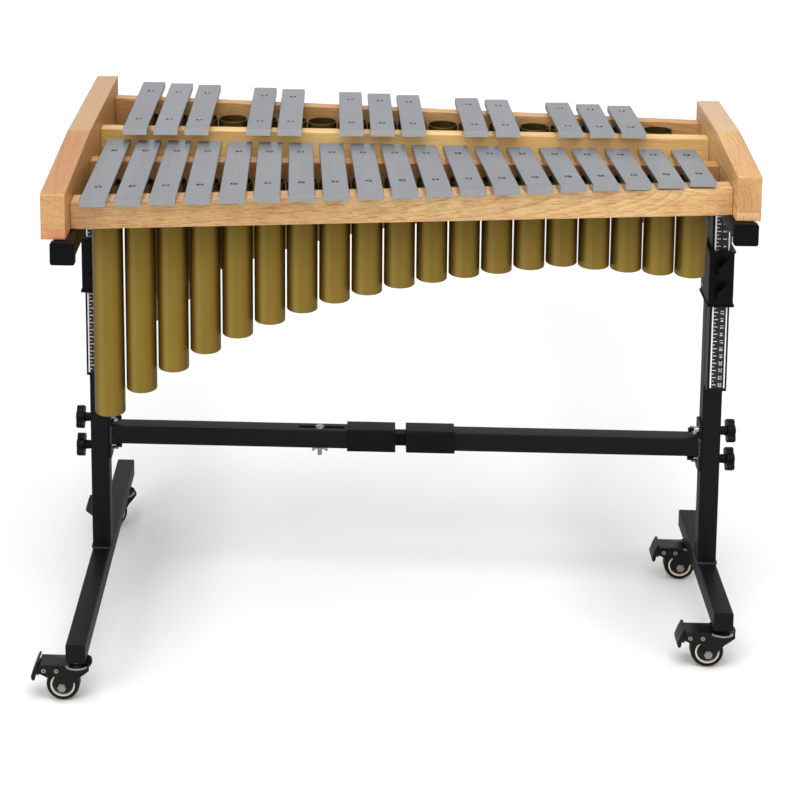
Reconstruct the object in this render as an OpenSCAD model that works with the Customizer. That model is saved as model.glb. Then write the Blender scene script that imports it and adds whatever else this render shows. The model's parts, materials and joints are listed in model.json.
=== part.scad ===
// Three-octave vibraphone on a height-adjustable stand with four braked casters.
// +Z is up, +X runs towards the treble end and +Y away from the player.
// The origin lies on the floor under the middle of the whole instrument.
// Left is the bass end, right the treble end, front the player's side.

/* [Stand] */
// Outer width of the square stand tubes
tube_w = 25; // [25:0.5:26]
// Wall thickness of the square stand tubes
tube_wall = 2; // [1.5:0.25:2.5]
// Distance from the middle of the stand to each post
post_x = 410; // [405:1:415]
// Height of the underside of the base bars
base_z = 54.5; // [54.5:0.5:60]
// Reach of the left base bar to the front and to the back of its post
base_left_reach = 255; // [240:1:265]
// Reach of the right base bar to the front and to the back of its post
base_right_reach = 138; // [130:1:160]
// Height of the fixed posts' top ends
post_top = 560; // [550:1:562]
// Height of the crossbar's axis
crossbar_z = 244.5; // [200:1:260]
// Outer width of the telescoping inner tube of the crossbar
inner_w = 17; // [16:0.5:20.5]
// Length of the plastic collars at the crossbar's joint
collar_len = 65; // [50:1:70]
// Gap between the two plastic collars
collar_gap = 14.3; // [13.5:0.1:20]
// Middle of the gap between the collars, measured from the stand's middle
collar_mid = -2.3; // [-10:0.1:10]

/* [Height adjustment] */
// Height of the lower end of the sliding posts
riser_bottom = 341; // [330:1:350]
// Underside of the clamp sleeves
clamp_z = 459; // [455:1:465]
// Height of the clamp sleeves
clamp_h = 75; // [70:0.5:78]
// Distance of the arms from the stand's middle
arm_x = 413; // [410:0.5:414]

/* [Casters] */
// Wheel diameter over the tyre
wheel_d = 42; // [38:1:42]
// Width of the tyre
wheel_w = 18; // [14:1:18]
// How far the axle trails behind the swivel stem
trail = 18; // [17:0.5:19]
// Distance of the front stems from the ends of the base bars
front_stem_inset = 15; // [14:1:25]
// Distance of the rear stems from the ends of the base bars
rear_stem_inset = 42; // [20:1:50]

/* [Keyboard frame] */
// Inner face of the bass end block
frame_left = -410; // [-411:0.5:-408]
// Inner face of the treble end block
frame_right = 402; // [402:0.5:406]
// Thickness of the end blocks
block_t = 30; // [26:1:32]
// Underside of the keyboard frame
frame_z = 610; // [610:1:610]
// Height of the end blocks at the player's side
block_front_h = 57; // [50:1:60]
// Height of the end blocks over the accidentals
block_rear_h = 72; // [68:1:76]
// Width of the rails
rail_w = 22; // [18:1:22]

/* [Bars] */
// Number of natural bars
naturals = 19; // [19:1:19]
// Distance between the centres of neighbouring natural bars
pitch = 41.2; // [40:0.1:41.2]
// Centre of the lowest natural bar
first_bar_x = -379; // [-380:0.5:-378]
// Width of every bar
bar_w = 32; // [28:0.5:34]
// Thickness of every bar
bar_t = 8.5; // [7:0.25:9]
// Length of the lowest natural bar
nat_long = 255; // [240:1:260]
// Length of the highest natural bar
nat_short = 129.5; // [120:0.5:140]
// Length of the lowest accidental bar
acc_long = 241; // [230:1:250]
// Length of the highest accidental bar
acc_short = 129; // [120:1:135]
// Height of the natural bars' top faces
nat_top = 656; // [655:0.5:658]
// Height of the accidental bars' top faces
acc_top = 670.5; // [669:0.5:672]
// Radius of the holes for the bar screws
bar_hole_r = 4.6; // [4:0.1:5]
// Largest angle by which the natural bars lean from square
nat_lean_max = 4.6; // [0:0.2:5]
// Largest angle by which the accidental bars lean from square
acc_lean_max = 1.9; // [0:0.1:2.5]

/* [Resonators] */
// Outer diameter of the resonator tubes
tube_d = 39.5; // [34:0.5:39.5]
// Wall thickness of the resonator tubes
res_wall = 1.2; // [1:0.1:2]
// Height of the natural resonators' mouths
nat_mouth = 638; // [630:1:640]
// Height of the accidental resonators' mouths
acc_mouth = 654; // [645:1:655]
// Length of the shortest resonator
res_short = 109; // [100:1:120]

/* [Hidden] */
$fn = 48;

// Colours
frame_black = [0.13, 0.13, 0.14];
inner_black = [0.16, 0.16, 0.17];
plastic_black = [0.1, 0.1, 0.1];
scale_black = [0.05, 0.05, 0.05];
cap_black = [0.08, 0.08, 0.08];
knob_black = [0.07, 0.07, 0.07];
tyre_black = [0.05, 0.05, 0.05];
brake_black = [0.12, 0.12, 0.12];
bright_metal = [0.75, 0.75, 0.77];
wheel_cream = [0.85, 0.78, 0.66];
block_wood = [0.85, 0.66, 0.44];
rail_wood = [0.87, 0.7, 0.48];
bar_silver = [0.66, 0.67, 0.69];
screw_silver = [0.8, 0.8, 0.82];
cushion_grey = [0.2, 0.2, 0.2];
resonator_bronze = [0.55, 0.45, 0.18];
bracket_grey = [0.3, 0.3, 0.3];

// Sides of the stand, as directions along X
left = -1;
right = 1;

// Moves the stand's middle so that the origin lies under the middle of the outline
outline_shift = [11.75, 9.5, 0];

// Shared by the stand's parts
half_tube = tube_w / 2;
tube_bore = tube_w - 2 * tube_wall;
plug_w = tube_bore + 0.02;
bolt_r = 3;
bolt_hole_r = 3.05;

// ---- Helpers ----
function lerp(start, end, t) = start + (end - start) * t;

module place() translate(outline_shift) children();
module at_post(side) place() translate([side * post_x, 0, 0]) children();
module at_arm(side) place() translate([side * arm_x, 0, 0]) children();

// Rectangle with rounded corners, centred
module rounded_rect(width, depth, radius) {
    square([width - 2 * radius, depth], center = true);
    square([width, depth - 2 * radius], center = true);
    for (x = [-1, 1], y = [-1, 1])
        translate([x * (width / 2 - radius), y * (depth / 2 - radius)])
            circle(r = radius, $fn = 24);
}
module tube_section(width, wall) {
    difference() {
        rounded_rect(width, width, 2);
        square([width - 2 * wall, width - 2 * wall], center = true);
    }
}
// Stand tube along Y at height z
module tube_y(y0, y1, z) {
    translate([0, y1, z]) rotate([90, 0, 0])
        linear_extrude(y1 - y0) tube_section(tube_w, tube_wall);
}
// Section extruded along the crossbar's axis
module along_crossbar(x0, x1) {
    translate([x0, 0, crossbar_z]) rotate([90, 0, 90]) linear_extrude(x1 - x0) children();
}
// Outline drawn in X and Z, extruded to both sides of y = 0
module plate_y(thickness) {
    rotate([90, 0, 0]) linear_extrude(thickness, center = true) children();
}
// Centred round bar along Y
module rod_y(radius, length) {
    rotate([90, 0, 0]) cylinder(r = radius, h = length, center = true);
}

// ---- Stand ----
base_top = base_z + tube_w;
bolt_off = 20; // crossbar bolts above and below its axis
flange_t = 3;

// Stem places along each base bar: [front, rear]
stems_left = [-base_left_reach + front_stem_inset, base_left_reach - rear_stem_inset];
stems_right = [-base_right_reach + front_stem_inset, base_right_reach - rear_stem_inset];

module base_bar(reach, stems) {
    plug_t = 3;
    difference() {
        union() {
            tube_y(-reach, reach, base_z + half_tube);
            // end plugs
            for (end = [-1, 1])
                translate([0, end * (reach - plug_t / 2), base_z + half_tube])
                    cube([plug_w, plug_t, plug_w], center = true);
            // swivel bushes
            for (y = stems)
                translate([0, y, base_z + 0.5]) cylinder(r = 8.5, h = tube_w - 1);
        }
        // stem sockets
        for (y = stems)
            translate([0, y, base_z - 1]) cylinder(r = 5.05, h = 21);
    }
}
module base_left() { color(frame_black) at_post(left) base_bar(base_left_reach, stems_left); }
module base_right() { color(frame_black) at_post(right) base_bar(base_right_reach, stems_right); }

// Holes along X for the two bolts of a crossbar end
module crossbar_bolt_holes(x, length) {
    for (z = [-bolt_off, bolt_off])
        translate([x, 0, crossbar_z + z]) rotate([0, 90, 0])
            cylinder(r = bolt_hole_r, h = length, center = true);
}

module post() {
    plug_h = 4;
    difference() {
        union() {
            translate([0, 0, base_top])
                linear_extrude(post_top - base_top) tube_section(tube_w, tube_wall);
            // top plug
            translate([0, 0, post_top - plug_h / 2]) cube([plug_w, plug_w, plug_h], center = true);
        }
        crossbar_bolt_holes(0, 3 * tube_w);
    }
}
module post_left() { color(frame_black) at_post(left) post(); }
module post_right() { color(frame_black) at_post(right) post(); }

// ---- Crossbar ----
collar_left_start = collar_mid - collar_gap / 2 - collar_len;
collar_left_end = collar_mid - collar_gap / 2;
collar_right_start = collar_mid + collar_gap / 2;
collar_right_end = collar_mid + collar_gap / 2 + collar_len;
collar_lip = 3;
flange_x = post_x - half_tube; // post side of the flanges
crossbar_end = flange_x - 0.5;

// Bolt that holds the telescoping tubes, and the slot it passes
slot_bolt_x = -111.4;
slot_x = -108.9;
slot_len = 62.4;
slot_w = 6.2;
inner_left_reach = 75; // from the slot bolt
inner_right_end = 160;

// Flange plate at a crossbar end, reaching from its post towards the middle
module flange(side) {
    plate_x = side * (flange_x - flange_t / 2);
    difference() {
        translate([plate_x, 0, crossbar_z]) rotate([0, 90, 0])
            linear_extrude(flange_t, center = true) rounded_rect(70, 27, 5);
        crossbar_bolt_holes(side * flange_x, 20);
        translate([plate_x, 0, crossbar_z]) cube([10, inner_w + 1, inner_w + 1], center = true);
    }
}
module crossbar_left() {
    slot_span = slot_len - slot_w;
    slot_h = tube_w + 4;
    color(frame_black) place() difference() {
        union() {
            along_crossbar(-crossbar_end, collar_left_end - collar_lip)
                tube_section(tube_w, tube_wall);
            flange(left);
        }
        // slot through the top and bottom walls
        translate([slot_x, 0, crossbar_z]) cube([slot_span, slot_w, slot_h], center = true);
        for (end = [-1, 1])
            translate([slot_x + end * slot_span / 2, 0, crossbar_z])
                cylinder(r = slot_w / 2, h = slot_h, center = true);
    }
}
module crossbar_right() {
    color(frame_black) place() union() {
        along_crossbar(collar_right_start + collar_lip, crossbar_end)
            tube_section(tube_w, tube_wall);
        flange(right);
    }
}
module crossbar_inner() {
    color(inner_black) place() difference() {
        along_crossbar(slot_bolt_x - inner_left_reach, inner_right_end)
            tube_section(inner_w, 1.5);
        translate([slot_bolt_x, 0, crossbar_z]) cylinder(r = bolt_hole_r, h = 40, center = true);
    }
}

// Plastic collar closely round the outer tube. Its lip guides the inner tube and
// lies at the right end for lip_end = 1, at the left end for -1.
module collar(x0, x1, lip_end) {
    outer_w = tube_w + 6;
    guide_w = inner_w + 0.4;
    socket_shift = -lip_end * collar_lip;
    difference() {
        along_crossbar(x0, x1) rounded_rect(outer_w, outer_w, 3);
        along_crossbar(x0 - 1, x1 + 1) rounded_rect(guide_w, guide_w, 2);
        along_crossbar(x0 + socket_shift, x1 + socket_shift) rounded_rect(tube_w, tube_w, 2);
    }
}
module crossbar_collar_left() {
    color(plastic_black) place() collar(collar_left_start, collar_left_end, 1);
}
module crossbar_collar_right() {
    color(plastic_black) place() collar(collar_right_start, collar_right_end, -1);
}

// One wing of the nut: [distance from the axis, height]
wing_outline = [[2, 0.6], [6, 0.6], [10, 4], [11, 8.2], [8.4, 9.4], [5.4, 6.6], [2, 5.4]];

// Wing nut, axis along +Z, with its underside at z = 0
module wing_nut() {
    difference() {
        union() {
            cylinder(r1 = 5.2, r2 = 4.4, h = 5.5);
            for (side = [-1, 1])
                plate_y(2) polygon([for (point = wing_outline) [side * point[0], point[1]]]);
        }
        translate([0, 0, -1]) cylinder(r = bolt_hole_r, h = 12);
    }
}
// Wing nuts on the flange, pointing to the stand's middle
module flange_nuts(side) {
    for (z = [-bolt_off, bolt_off])
        translate([side * (flange_x - flange_t), 0, crossbar_z + z])
            rotate([0, -side * 90, 0]) rotate([0, 0, 90]) wing_nut();
}
module crossbar_nuts_left() { color(bright_metal) place() flange_nuts(left); }
module crossbar_nuts_right() { color(bright_metal) place() flange_nuts(right); }

// Domed bolt head: [radius, height]
bolt_head_outline = [[0, 0], [6, 0], [5.7, 1], [4.4, 2.1], [2.4, 2.8], [0, 3]];

// Carriage bolt that holds the telescoping tubes
module slot_bolt() {
    below_tube = 14.4;
    color(bright_metal) place() translate([slot_bolt_x, 0, crossbar_z]) union() {
        translate([0, 0, half_tube]) rotate_extrude() polygon(bolt_head_outline);
        translate([0, 0, -half_tube - below_tube])
            cylinder(r = bolt_r, h = tube_w + below_tube + 0.1);
    }
}
module slot_wing_nut() {
    color(bright_metal) place()
        translate([slot_bolt_x, 0, crossbar_z - half_tube - 0.1]) rotate([180, 0, 0]) wing_nut();
}

// Star knob of the crossbar with its stud, which runs through post and flange;
// level is 1 above the crossbar's axis and -1 below it
module crossbar_knob(side, level) {
    neck_top = 9.4;
    translate([side * (post_x + half_tube), 0, crossbar_z + level * bolt_off])
        rotate([0, side * 90, 0]) union() {
            translate([0, 0, -tube_w - 16]) cylinder(r = bolt_r, h = tube_w + 20);
            translate([0, 0, 0.2]) cylinder(r1 = 5.6, r2 = 6.2, h = neck_top);
            translate([0, 0, neck_top]) difference() {
                cylinder(r = 15.6, h = 10);
                for (i = [0:5])
                    rotate([0, 0, i * 60 + 30]) translate([18.6, 0, -1]) cylinder(r = 6, h = 12);
            }
        }
}
module crossbar_knob_left_upper() { color(knob_black) place() crossbar_knob(left, 1); }
module crossbar_knob_left_lower() { color(knob_black) place() crossbar_knob(left, -1); }
module crossbar_knob_right_upper() { color(knob_black) place() crossbar_knob(right, 1); }
module crossbar_knob_right_lower() { color(knob_black) place() crossbar_knob(right, -1); }

// ---- Height adjustment ----
riser_gap = 0.05;
riser_back = -half_tube - riser_gap;
riser_front = riser_back - tube_w;
clamp_front = riser_front - 5;
knob_upper_z = clamp_z + 53;
knob_lower_z = clamp_z + 20.5;
arm_top = frame_z - 0.3;
arm_z = arm_top - tube_w;

// The treble clamp, its knobs and the treble sliding post reach a little lower
function drop(side) = side == right ? 4.5 : 0;

// Sleeve round the fixed post and the sliding post in front of it
module clamp(side) {
    mid_y = (riser_front + half_tube) / 2;
    depth = half_tube - riser_front;
    lip_h = 2;
    translate([0, 0, -drop(side)]) difference() {
        union() {
            translate([0, mid_y + 0.2, clamp_z])
                linear_extrude(clamp_h) rounded_rect(32, depth + 10.4, 3);
            // flared lips at the lower and upper ends
            for (z = [clamp_z, clamp_z + clamp_h - lip_h])
                translate([0, mid_y + 0.2, z])
                    linear_extrude(lip_h) rounded_rect(35, depth + 13, 3);
        }
        translate([0, mid_y - 0.05, clamp_z - 1])
            linear_extrude(clamp_h + 2) square([tube_w + 0.1, depth + 0.1], center = true);
        // holes for the knobs' screws
        for (z = [knob_upper_z, knob_lower_z])
            translate([0, clamp_front, z]) rod_y(bolt_hole_r, 12);
    }
}
module clamp_left() { color(plastic_black) at_post(left) clamp(left); }
module clamp_right() { color(plastic_black) at_post(right) clamp(right); }

// Lobed wing knob of the clamp, pointing to -Y, with its screw
module clamp_knob(side, z) {
    translate([0, clamp_front, z - drop(side)]) rotate([90, 0, 0]) union() {
        translate([0, 0, -4.85]) cylinder(r = bolt_r, h = 8);
        translate([0, 0, 1.2]) cylinder(r = 6.5, h = 5);
        translate([0, 0, 5]) rotate([0, 0, 68]) linear_extrude(9) {
            circle(r = 7.2);
            for (lobe = [-1, 1])
                translate([lobe * 8.2, 0]) circle(r = 4.6);
            square([16, 8], center = true);
        }
    }
}
module clamp_knob_left_upper() { color(knob_black) at_post(left) clamp_knob(left, knob_upper_z); }
module clamp_knob_left_lower() { color(knob_black) at_post(left) clamp_knob(left, knob_lower_z); }
module clamp_knob_right_upper() {
    color(knob_black) at_post(right) clamp_knob(right, knob_upper_z);
}
module clamp_knob_right_lower() {
    color(knob_black) at_post(right) clamp_knob(right, knob_lower_z);
}

// Sliding post, closed at its lower end
module riser(side) {
    bottom = riser_bottom - drop(side);
    length = arm_z - bottom;
    difference() {
        translate([0, riser_back - half_tube, bottom]) union() {
            linear_extrude(length) tube_section(tube_w, tube_wall);
            linear_extrude(3) square([plug_w, plug_w], center = true);
        }
        // shallow recess for the height scale
        translate([0, riser_front, (bottom + arm_z) / 2])
            cube([20, 0.8, length - 6], center = true);
    }
}
module riser_left() { color(frame_black) at_post(left) riser(left); }
module riser_right() { color(frame_black) at_post(right) riser(right); }

module height_scale(side) {
    bottom = riser_bottom - drop(side);
    translate([0, riser_front + 0.22, (bottom + arm_z) / 2])
        cube([19.8, 0.36, arm_z - bottom - 7], center = true);
}
module height_scale_left() { color(scale_black) at_post(left) height_scale(left); }
module height_scale_right() { color(scale_black) at_post(right) height_scale(right); }

// End blocks along Y: [front, crease of the top, back]
block_left_y = [-265, -49, 235];
block_right_y = [-159, -13, 136];

// Arms along Y: [front, back]; they stop short of the blocks' backs
arm_back_inset = 10;
arm_left_y = [block_left_y[0], block_left_y[2] - arm_back_inset];
arm_right_y = [block_right_y[0], block_right_y[2] - arm_back_inset];

module arm(ends) tube_y(ends[0], ends[1], arm_z + half_tube);
module arm_left() { color(frame_black) at_arm(left) arm(arm_left_y); }
module arm_right() { color(frame_black) at_arm(right) arm(arm_right_y); }

// End cap with a stub inside the tube; outward is its direction along Y
module arm_cap(outward) {
    cap_t = 9;
    cap_h = 28;
    stub_len = 12;
    translate([0, 0, arm_top - cap_h / 2]) {
        translate([0, outward * cap_t / 2, 0]) plate_y(cap_t) rounded_rect(30, cap_h, 3);
        translate([0, -outward * stub_len / 2, cap_h / 2 - half_tube])
            cube([tube_bore, stub_len, tube_bore], center = true);
    }
}
module arm_caps(ends) {
    translate([0, ends[0], 0]) arm_cap(-1);
    translate([0, ends[1], 0]) arm_cap(1);
}
module arm_caps_left() { color(cap_black) at_arm(left) arm_caps(arm_left_y); }
module arm_caps_right() { color(cap_black) at_arm(right) arm_caps(arm_right_y); }

// ---- Casters; each is drawn round its stem at x = y = 0, trailing towards -X ----
wheel_r = wheel_d / 2;
rim_r = wheel_r - 5.5;
fork_in = wheel_w / 2 + 1;
fork_out = fork_in + 2.5;
pivot = [-41, 42]; // brake pivot in X and Z
rear_left_turn = 40; // the rear left caster rests turned on its stem

// Side plate of the fork: [x, z]
fork_outline = [
    [-46, 49], [-48, 46], [-48, 38], [-37, 32.5], [-27.5, 34], [-26, wheel_r],
    [-10, wheel_r - 4], [-4, 25], [3, 33], [10, 38], [16, 43], [16, 49]];
// Brake lever with its shoe, piece beside its pivot, and pedal: [x, z]
lever_outline = [[-41, 45.5], [-40, 46.2], [-50, 45.6], [-52.4, 40], [-49.4, 33], [-44, 38.4]];
lever_root_outline = [[-41, 38], [-36, 39.4], [-35, 41.4], [-38, 45], [-41, 46]];
pedal_outline = [
    [-49, 49.8], [-47.6, 51.6], [-46.8, 53.2], [-49.6, 53.3], [-53.4, 45], [-57.4, 34],
    [-56.8, 29.6], [-54.6, 27.6], [-52.4, 29.4], [-51.4, 35.4], [-49.4, 38], [-49.4, 46]];
// Half of the tyre's section: [radius, distance from the wheel's side face]
tyre_profile = [[rim_r, 0.3], [wheel_r - 2, 0], [wheel_r - 0.7, 1.4], [wheel_r, 4]];

// Rivet places on both sides of the fork, y from its middle
module at_rivets(y) {
    for (side = [-1, 1], x = [pivot[0], pivot[0] + 16])
        translate([x, side * y, pivot[1]]) children();
}

module fork() {
    stem_z = 45;
    race_z = 49.2;
    difference() {
        union() {
            // side plates
            for (side = [-1, 1])
                translate([0, side * (fork_in + fork_out) / 2, 0]) plate_y(fork_out - fork_in) {
                    polygon(fork_outline);
                    translate([-trail, wheel_r]) circle(r = 8);
                }
            // top plate and its round swivel seat
            translate([0, 0, 47]) linear_extrude(2.4) {
                translate([-30, 0]) square([34, 2 * fork_out], center = true);
                circle(r = 18.5);
            }
            translate([0, 0, stem_z]) cylinder(r = 11, h = 2.5);
            // ball race and stem
            translate([0, 0, race_z]) cylinder(r = 9.6, h = base_z - 0.15 - race_z);
            translate([0, 0, stem_z]) cylinder(r = 5, h = base_z + 17 - stem_z);
            // axle with its head and its nut
            translate([-trail, 0, wheel_r]) rod_y(bolt_r, 2 * fork_out + 4);
            translate([-trail, -fork_out, wheel_r]) rotate([90, 0, 0]) {
                cylinder(r = 5.8, h = 3.6, $fn = 6);
                cylinder(r = 4.4, h = 5.2);
            }
            translate([-trail, fork_out, wheel_r]) rotate([-90, 0, 0])
                cylinder(r = 5.8, h = 3.4, $fn = 6);
            // brake pivot and rivets
            translate([pivot[0], 0, pivot[1]]) rod_y(2, 2 * fork_out);
            at_rivets(fork_out + 0.5) rod_y(2.8, 1.2);
        }
        // hollows of the rivets
        at_rivets(fork_out + 1) rod_y(1.1, 2);
    }
}
module wheel() {
    ring_w = 3;
    translate([-trail, 0, wheel_r]) rotate([90, 0, 0]) difference() {
        union() {
            cylinder(r = rim_r, h = wheel_w - 4, center = true);
            cylinder(r = 6, h = wheel_w, center = true);
            // raised ring round the rim
            for (side = [-1, 1])
                translate([0, 0, side * (wheel_w - ring_w) / 2]) difference() {
                    cylinder(r = rim_r, h = ring_w, center = true);
                    cylinder(r = wheel_r - 7.6, h = ring_w + 1, center = true);
                }
        }
        cylinder(r = bolt_hole_r, h = wheel_w + 2, center = true);
    }
}
module tyre() {
    translate([-trail, 0, wheel_r]) rotate([90, 0, 0]) rotate_extrude($fn = 96)
        polygon([
            for (i = [0:3]) [tyre_profile[i][0], -wheel_w / 2 + tyre_profile[i][1]],
            for (i = [3:-1:0]) [tyre_profile[i][0], wheel_w / 2 - tyre_profile[i][1]]]);
}
module brake() {
    difference() {
        union() {
            // lever between the fork's plates, with its shoe
            plate_y(2 * fork_in - 0.6) {
                translate(pivot) circle(r = 4.2);
                polygon(lever_outline);
                polygon(lever_root_outline);
            }
            // pedal as wide as the fork, beyond its trailing end
            plate_y(2 * fork_out) polygon(pedal_outline);
        }
        translate([pivot[0], 0, pivot[1]]) rod_y(2.05, 60);
    }
}

module at_front_left() at_post(left) translate([0, stems_left[0], 0]) children();
module at_front_right() at_post(right) translate([0, stems_right[0], 0]) children();
module at_rear_left() {
    at_post(left) translate([0, stems_left[1], 0]) rotate([0, 0, rear_left_turn]) children();
}
module at_rear_right() at_post(right) translate([0, stems_right[1], 0]) children();

module fork_front_left() { color(plastic_black) at_front_left() fork(); }
module wheel_front_left() { color(wheel_cream) at_front_left() wheel(); }
module tyre_front_left() { color(tyre_black) at_front_left() tyre(); }
module brake_front_left() { color(brake_black) at_front_left() brake(); }
module fork_front_right() { color(plastic_black) at_front_right() fork(); }
module wheel_front_right() { color(wheel_cream) at_front_right() wheel(); }
module tyre_front_right() { color(tyre_black) at_front_right() tyre(); }
module brake_front_right() { color(brake_black) at_front_right() brake(); }
module fork_rear_left() { color(plastic_black) at_rear_left() fork(); }
module wheel_rear_left() { color(wheel_cream) at_rear_left() wheel(); }
module tyre_rear_left() { color(tyre_black) at_rear_left() tyre(); }
module brake_rear_left() { color(brake_black) at_rear_left() brake(); }
module fork_rear_right() { color(plastic_black) at_rear_right() fork(); }
module wheel_rear_right() { color(wheel_cream) at_rear_right() wheel(); }
module tyre_rear_right() { color(tyre_black) at_rear_right() tyre(); }
module brake_rear_right() { color(brake_black) at_rear_right() brake(); }

// ---- Fan of the keyboard ----
// Straight lines over x: [y at the lowest natural, y at the highest natural]
nat_pin_lines = [[-199.5, -112.5], [-46.9, -34.4]]; // front and rear screws
acc_pin_lines = [[52.5, 41], [199.7, 113.3]]; // front and rear screws
rail_front_line = [-209, -126];
rail_inner_line = nat_pin_lines[1];
rail_centre_line = [54.3, 44.5];
rail_rear_line = [198.3, 113.3];
nat_bank_line = [-124.4, -77];
acc_bank_line = [124.6, 83];

function nat_x(i) = first_bar_x + (i - 1) * pitch;
function acc_x(i) = nat_x(i) + pitch / 2;
last_bar_x = nat_x(naturals);
function line_y(ends, x) =
    lerp(ends[0], ends[1], (x - first_bar_x) / (last_bar_x - first_bar_x));

// ---- Keyboard frame ----
nat_rail_top = nat_top - bar_t - 2.5;
acc_rail_top = acc_top - bar_t - 4;
rear_rail_top = acc_rail_top + 1.5;

// Side outline: upright front, top rising to a crease, then level to the back
module end_block(x, ys) {
    rear_top = frame_z + block_rear_h;
    translate([x, 0, 0]) rotate([90, 0, 90]) linear_extrude(block_t)
        polygon([[ys[0], frame_z], [ys[2], frame_z], [ys[2], rear_top], [ys[1], rear_top],
            [ys[0], frame_z + block_front_h]]);
}
module end_block_left() { color(block_wood) place() end_block(frame_left - block_t, block_left_y); }
module end_block_right() { color(block_wood) place() end_block(frame_right, block_right_y); }

// Rail between the end blocks; shifts move its left and right ends off the line
module rail(ends, width, bottom, top, shifts = [0, 0]) {
    y0 = line_y(ends, frame_left) + shifts[0];
    y1 = line_y(ends, frame_right) + shifts[1];
    translate([0, 0, bottom]) linear_extrude(top - bottom)
        polygon([[frame_left, y0 - width / 2], [frame_right, y1 - width / 2],
            [frame_right, y1 + width / 2], [frame_left, y0 + width / 2]]);
}
module rail_front() {
    color(rail_wood) place() rail(rail_front_line, 29, frame_z, nat_rail_top);
}
module rail_inner() {
    color(rail_wood) place() rail(rail_inner_line, 20, frame_z + 6, nat_rail_top);
}
module rail_centre() {
    color(rail_wood) place()
        rail(rail_centre_line, rail_w - 3, frame_z + 8, acc_rail_top, shifts = [1, -1]);
}
module rail_rear() {
    color(rail_wood) place()
        rail(rail_rear_line, 17.5, frame_z + 10, rear_rail_top, shifts = [4.5, 1.5]);
}

// ---- Bars ----
// Which gaps between naturals carry an accidental, counting from F
function has_acc(i) = let (step = (i - 1) % 7) step != 3 && step != 6;
accidentals = [for (i = [1:naturals - 1]) if (has_acc(i)) i];

// Place of a bar in its row, from 0 at the lowest to 1 at the highest
function nat_t(i) = (i - 1) / (naturals - 1);
function acc_t(i) = (i - 1) / (naturals - 3);

// The front ends of the naturals bow towards the player by up to 7
function nat_bow(t) = 4 * 7 * t * (1 - t);
function nat_front(i) = lerp(-252, -141, nat_t(i)) - nat_bow(nat_t(i));
function nat_len(i) = lerp(nat_long, nat_short, nat_t(i)) + nat_bow(nat_t(i));
function acc_front(i) = lerp(4.3, 17, acc_t(i));
function acc_len(i) = lerp(acc_long, acc_short, acc_t(i));

// Lean of the bars, growing towards the upper middle of the range and falling again
function nat_lean(i) = nat_lean_max * sin(160 * pow(nat_t(i), 1.6));
function acc_lean(i) = acc_lean_max * sin(140 * pow(acc_t(i), 1.8));

// Front and rear screw places of a bar at x
function pin_ys(lines, x) = [for (ends = lines) line_y(ends, x)];

module bar(x, front, length, top, pins) {
    edge = 0.8; // chamfer of the upper edges
    arch_half = 0.2 * length;
    arch_rise = 2.2;
    arch_r = (arch_half * arch_half + arch_rise * arch_rise) / (2 * arch_rise);
    difference() {
        translate([x, front + length, top]) rotate([90, 0, 0]) linear_extrude(length)
            polygon([[-bar_w / 2, -bar_t], [bar_w / 2, -bar_t], [bar_w / 2, -edge],
                [bar_w / 2 - edge, 0], [-bar_w / 2 + edge, 0], [-bar_w / 2, -edge]]);
        for (y = pins)
            translate([x, y, top - bar_t - 1]) cylinder(r = bar_hole_r, h = bar_t + 2, $fn = 32);
        // tuning arch under the middle
        translate([x, front + length / 2, top - bar_t + arch_rise - arch_r]) rotate([0, 90, 0])
            cylinder(r = arch_r, h = bar_w + 2, center = true, $fn = 128);
    }
}
// Turns a bar or its screws about a point at pivot_t on the way from front to rear screw
module lean(x, pins, pivot_t, angle) {
    y = lerp(pins[0], pins[1], pivot_t);
    translate([x, y, 0]) rotate([0, 0, angle]) translate([-x, -y, 0]) children();
}
module lean_nat(i) {
    lean(nat_x(i), pin_ys(nat_pin_lines, nat_x(i)), 0.2, nat_lean(i)) children();
}
module lean_acc(i) {
    lean(acc_x(i), pin_ys(acc_pin_lines, acc_x(i)), -0.4, acc_lean(i)) children();
}
module natural_bars() {
    color(bar_silver) place() for (i = [1:naturals])
        lean_nat(i)
            bar(nat_x(i), nat_front(i), nat_len(i), nat_top, pin_ys(nat_pin_lines, nat_x(i)));
}
module accidental_bars() {
    color(bar_silver) place() for (i = accidentals)
        lean_acc(i)
            bar(acc_x(i), acc_front(i), acc_len(i), acc_top, pin_ys(acc_pin_lines, acc_x(i)));
}

// Screw places of all naturals, or of all accidentals, along one screw line
module at_nat_pins(ends) {
    for (i = [1:naturals])
        lean_nat(i) translate([nat_x(i), line_y(ends, nat_x(i)), 0]) children();
}
module at_acc_pins(ends) {
    for (i = accidentals)
        lean_acc(i) translate([acc_x(i), line_y(ends, acc_x(i)), 0]) children();
}
// Pan-head screw with a cross recess, through a bar hole into the rail
module screw(rail_top, bar_top) {
    depth = 12;
    translate([0, 0, rail_top - depth])
        cylinder(r = 1.7, h = bar_top - 4 - rail_top + depth, $fn = 24);
    translate([0, 0, bar_top - 4.4]) difference() {
        cylinder(r1 = 3.6, r2 = 3, h = 2.4, $fn = 24);
        for (angle = [20, 110])
            rotate([0, 0, angle]) translate([0, 0, 2.3]) cube([3.8, 0.9, 1.6], center = true);
    }
}
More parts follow.
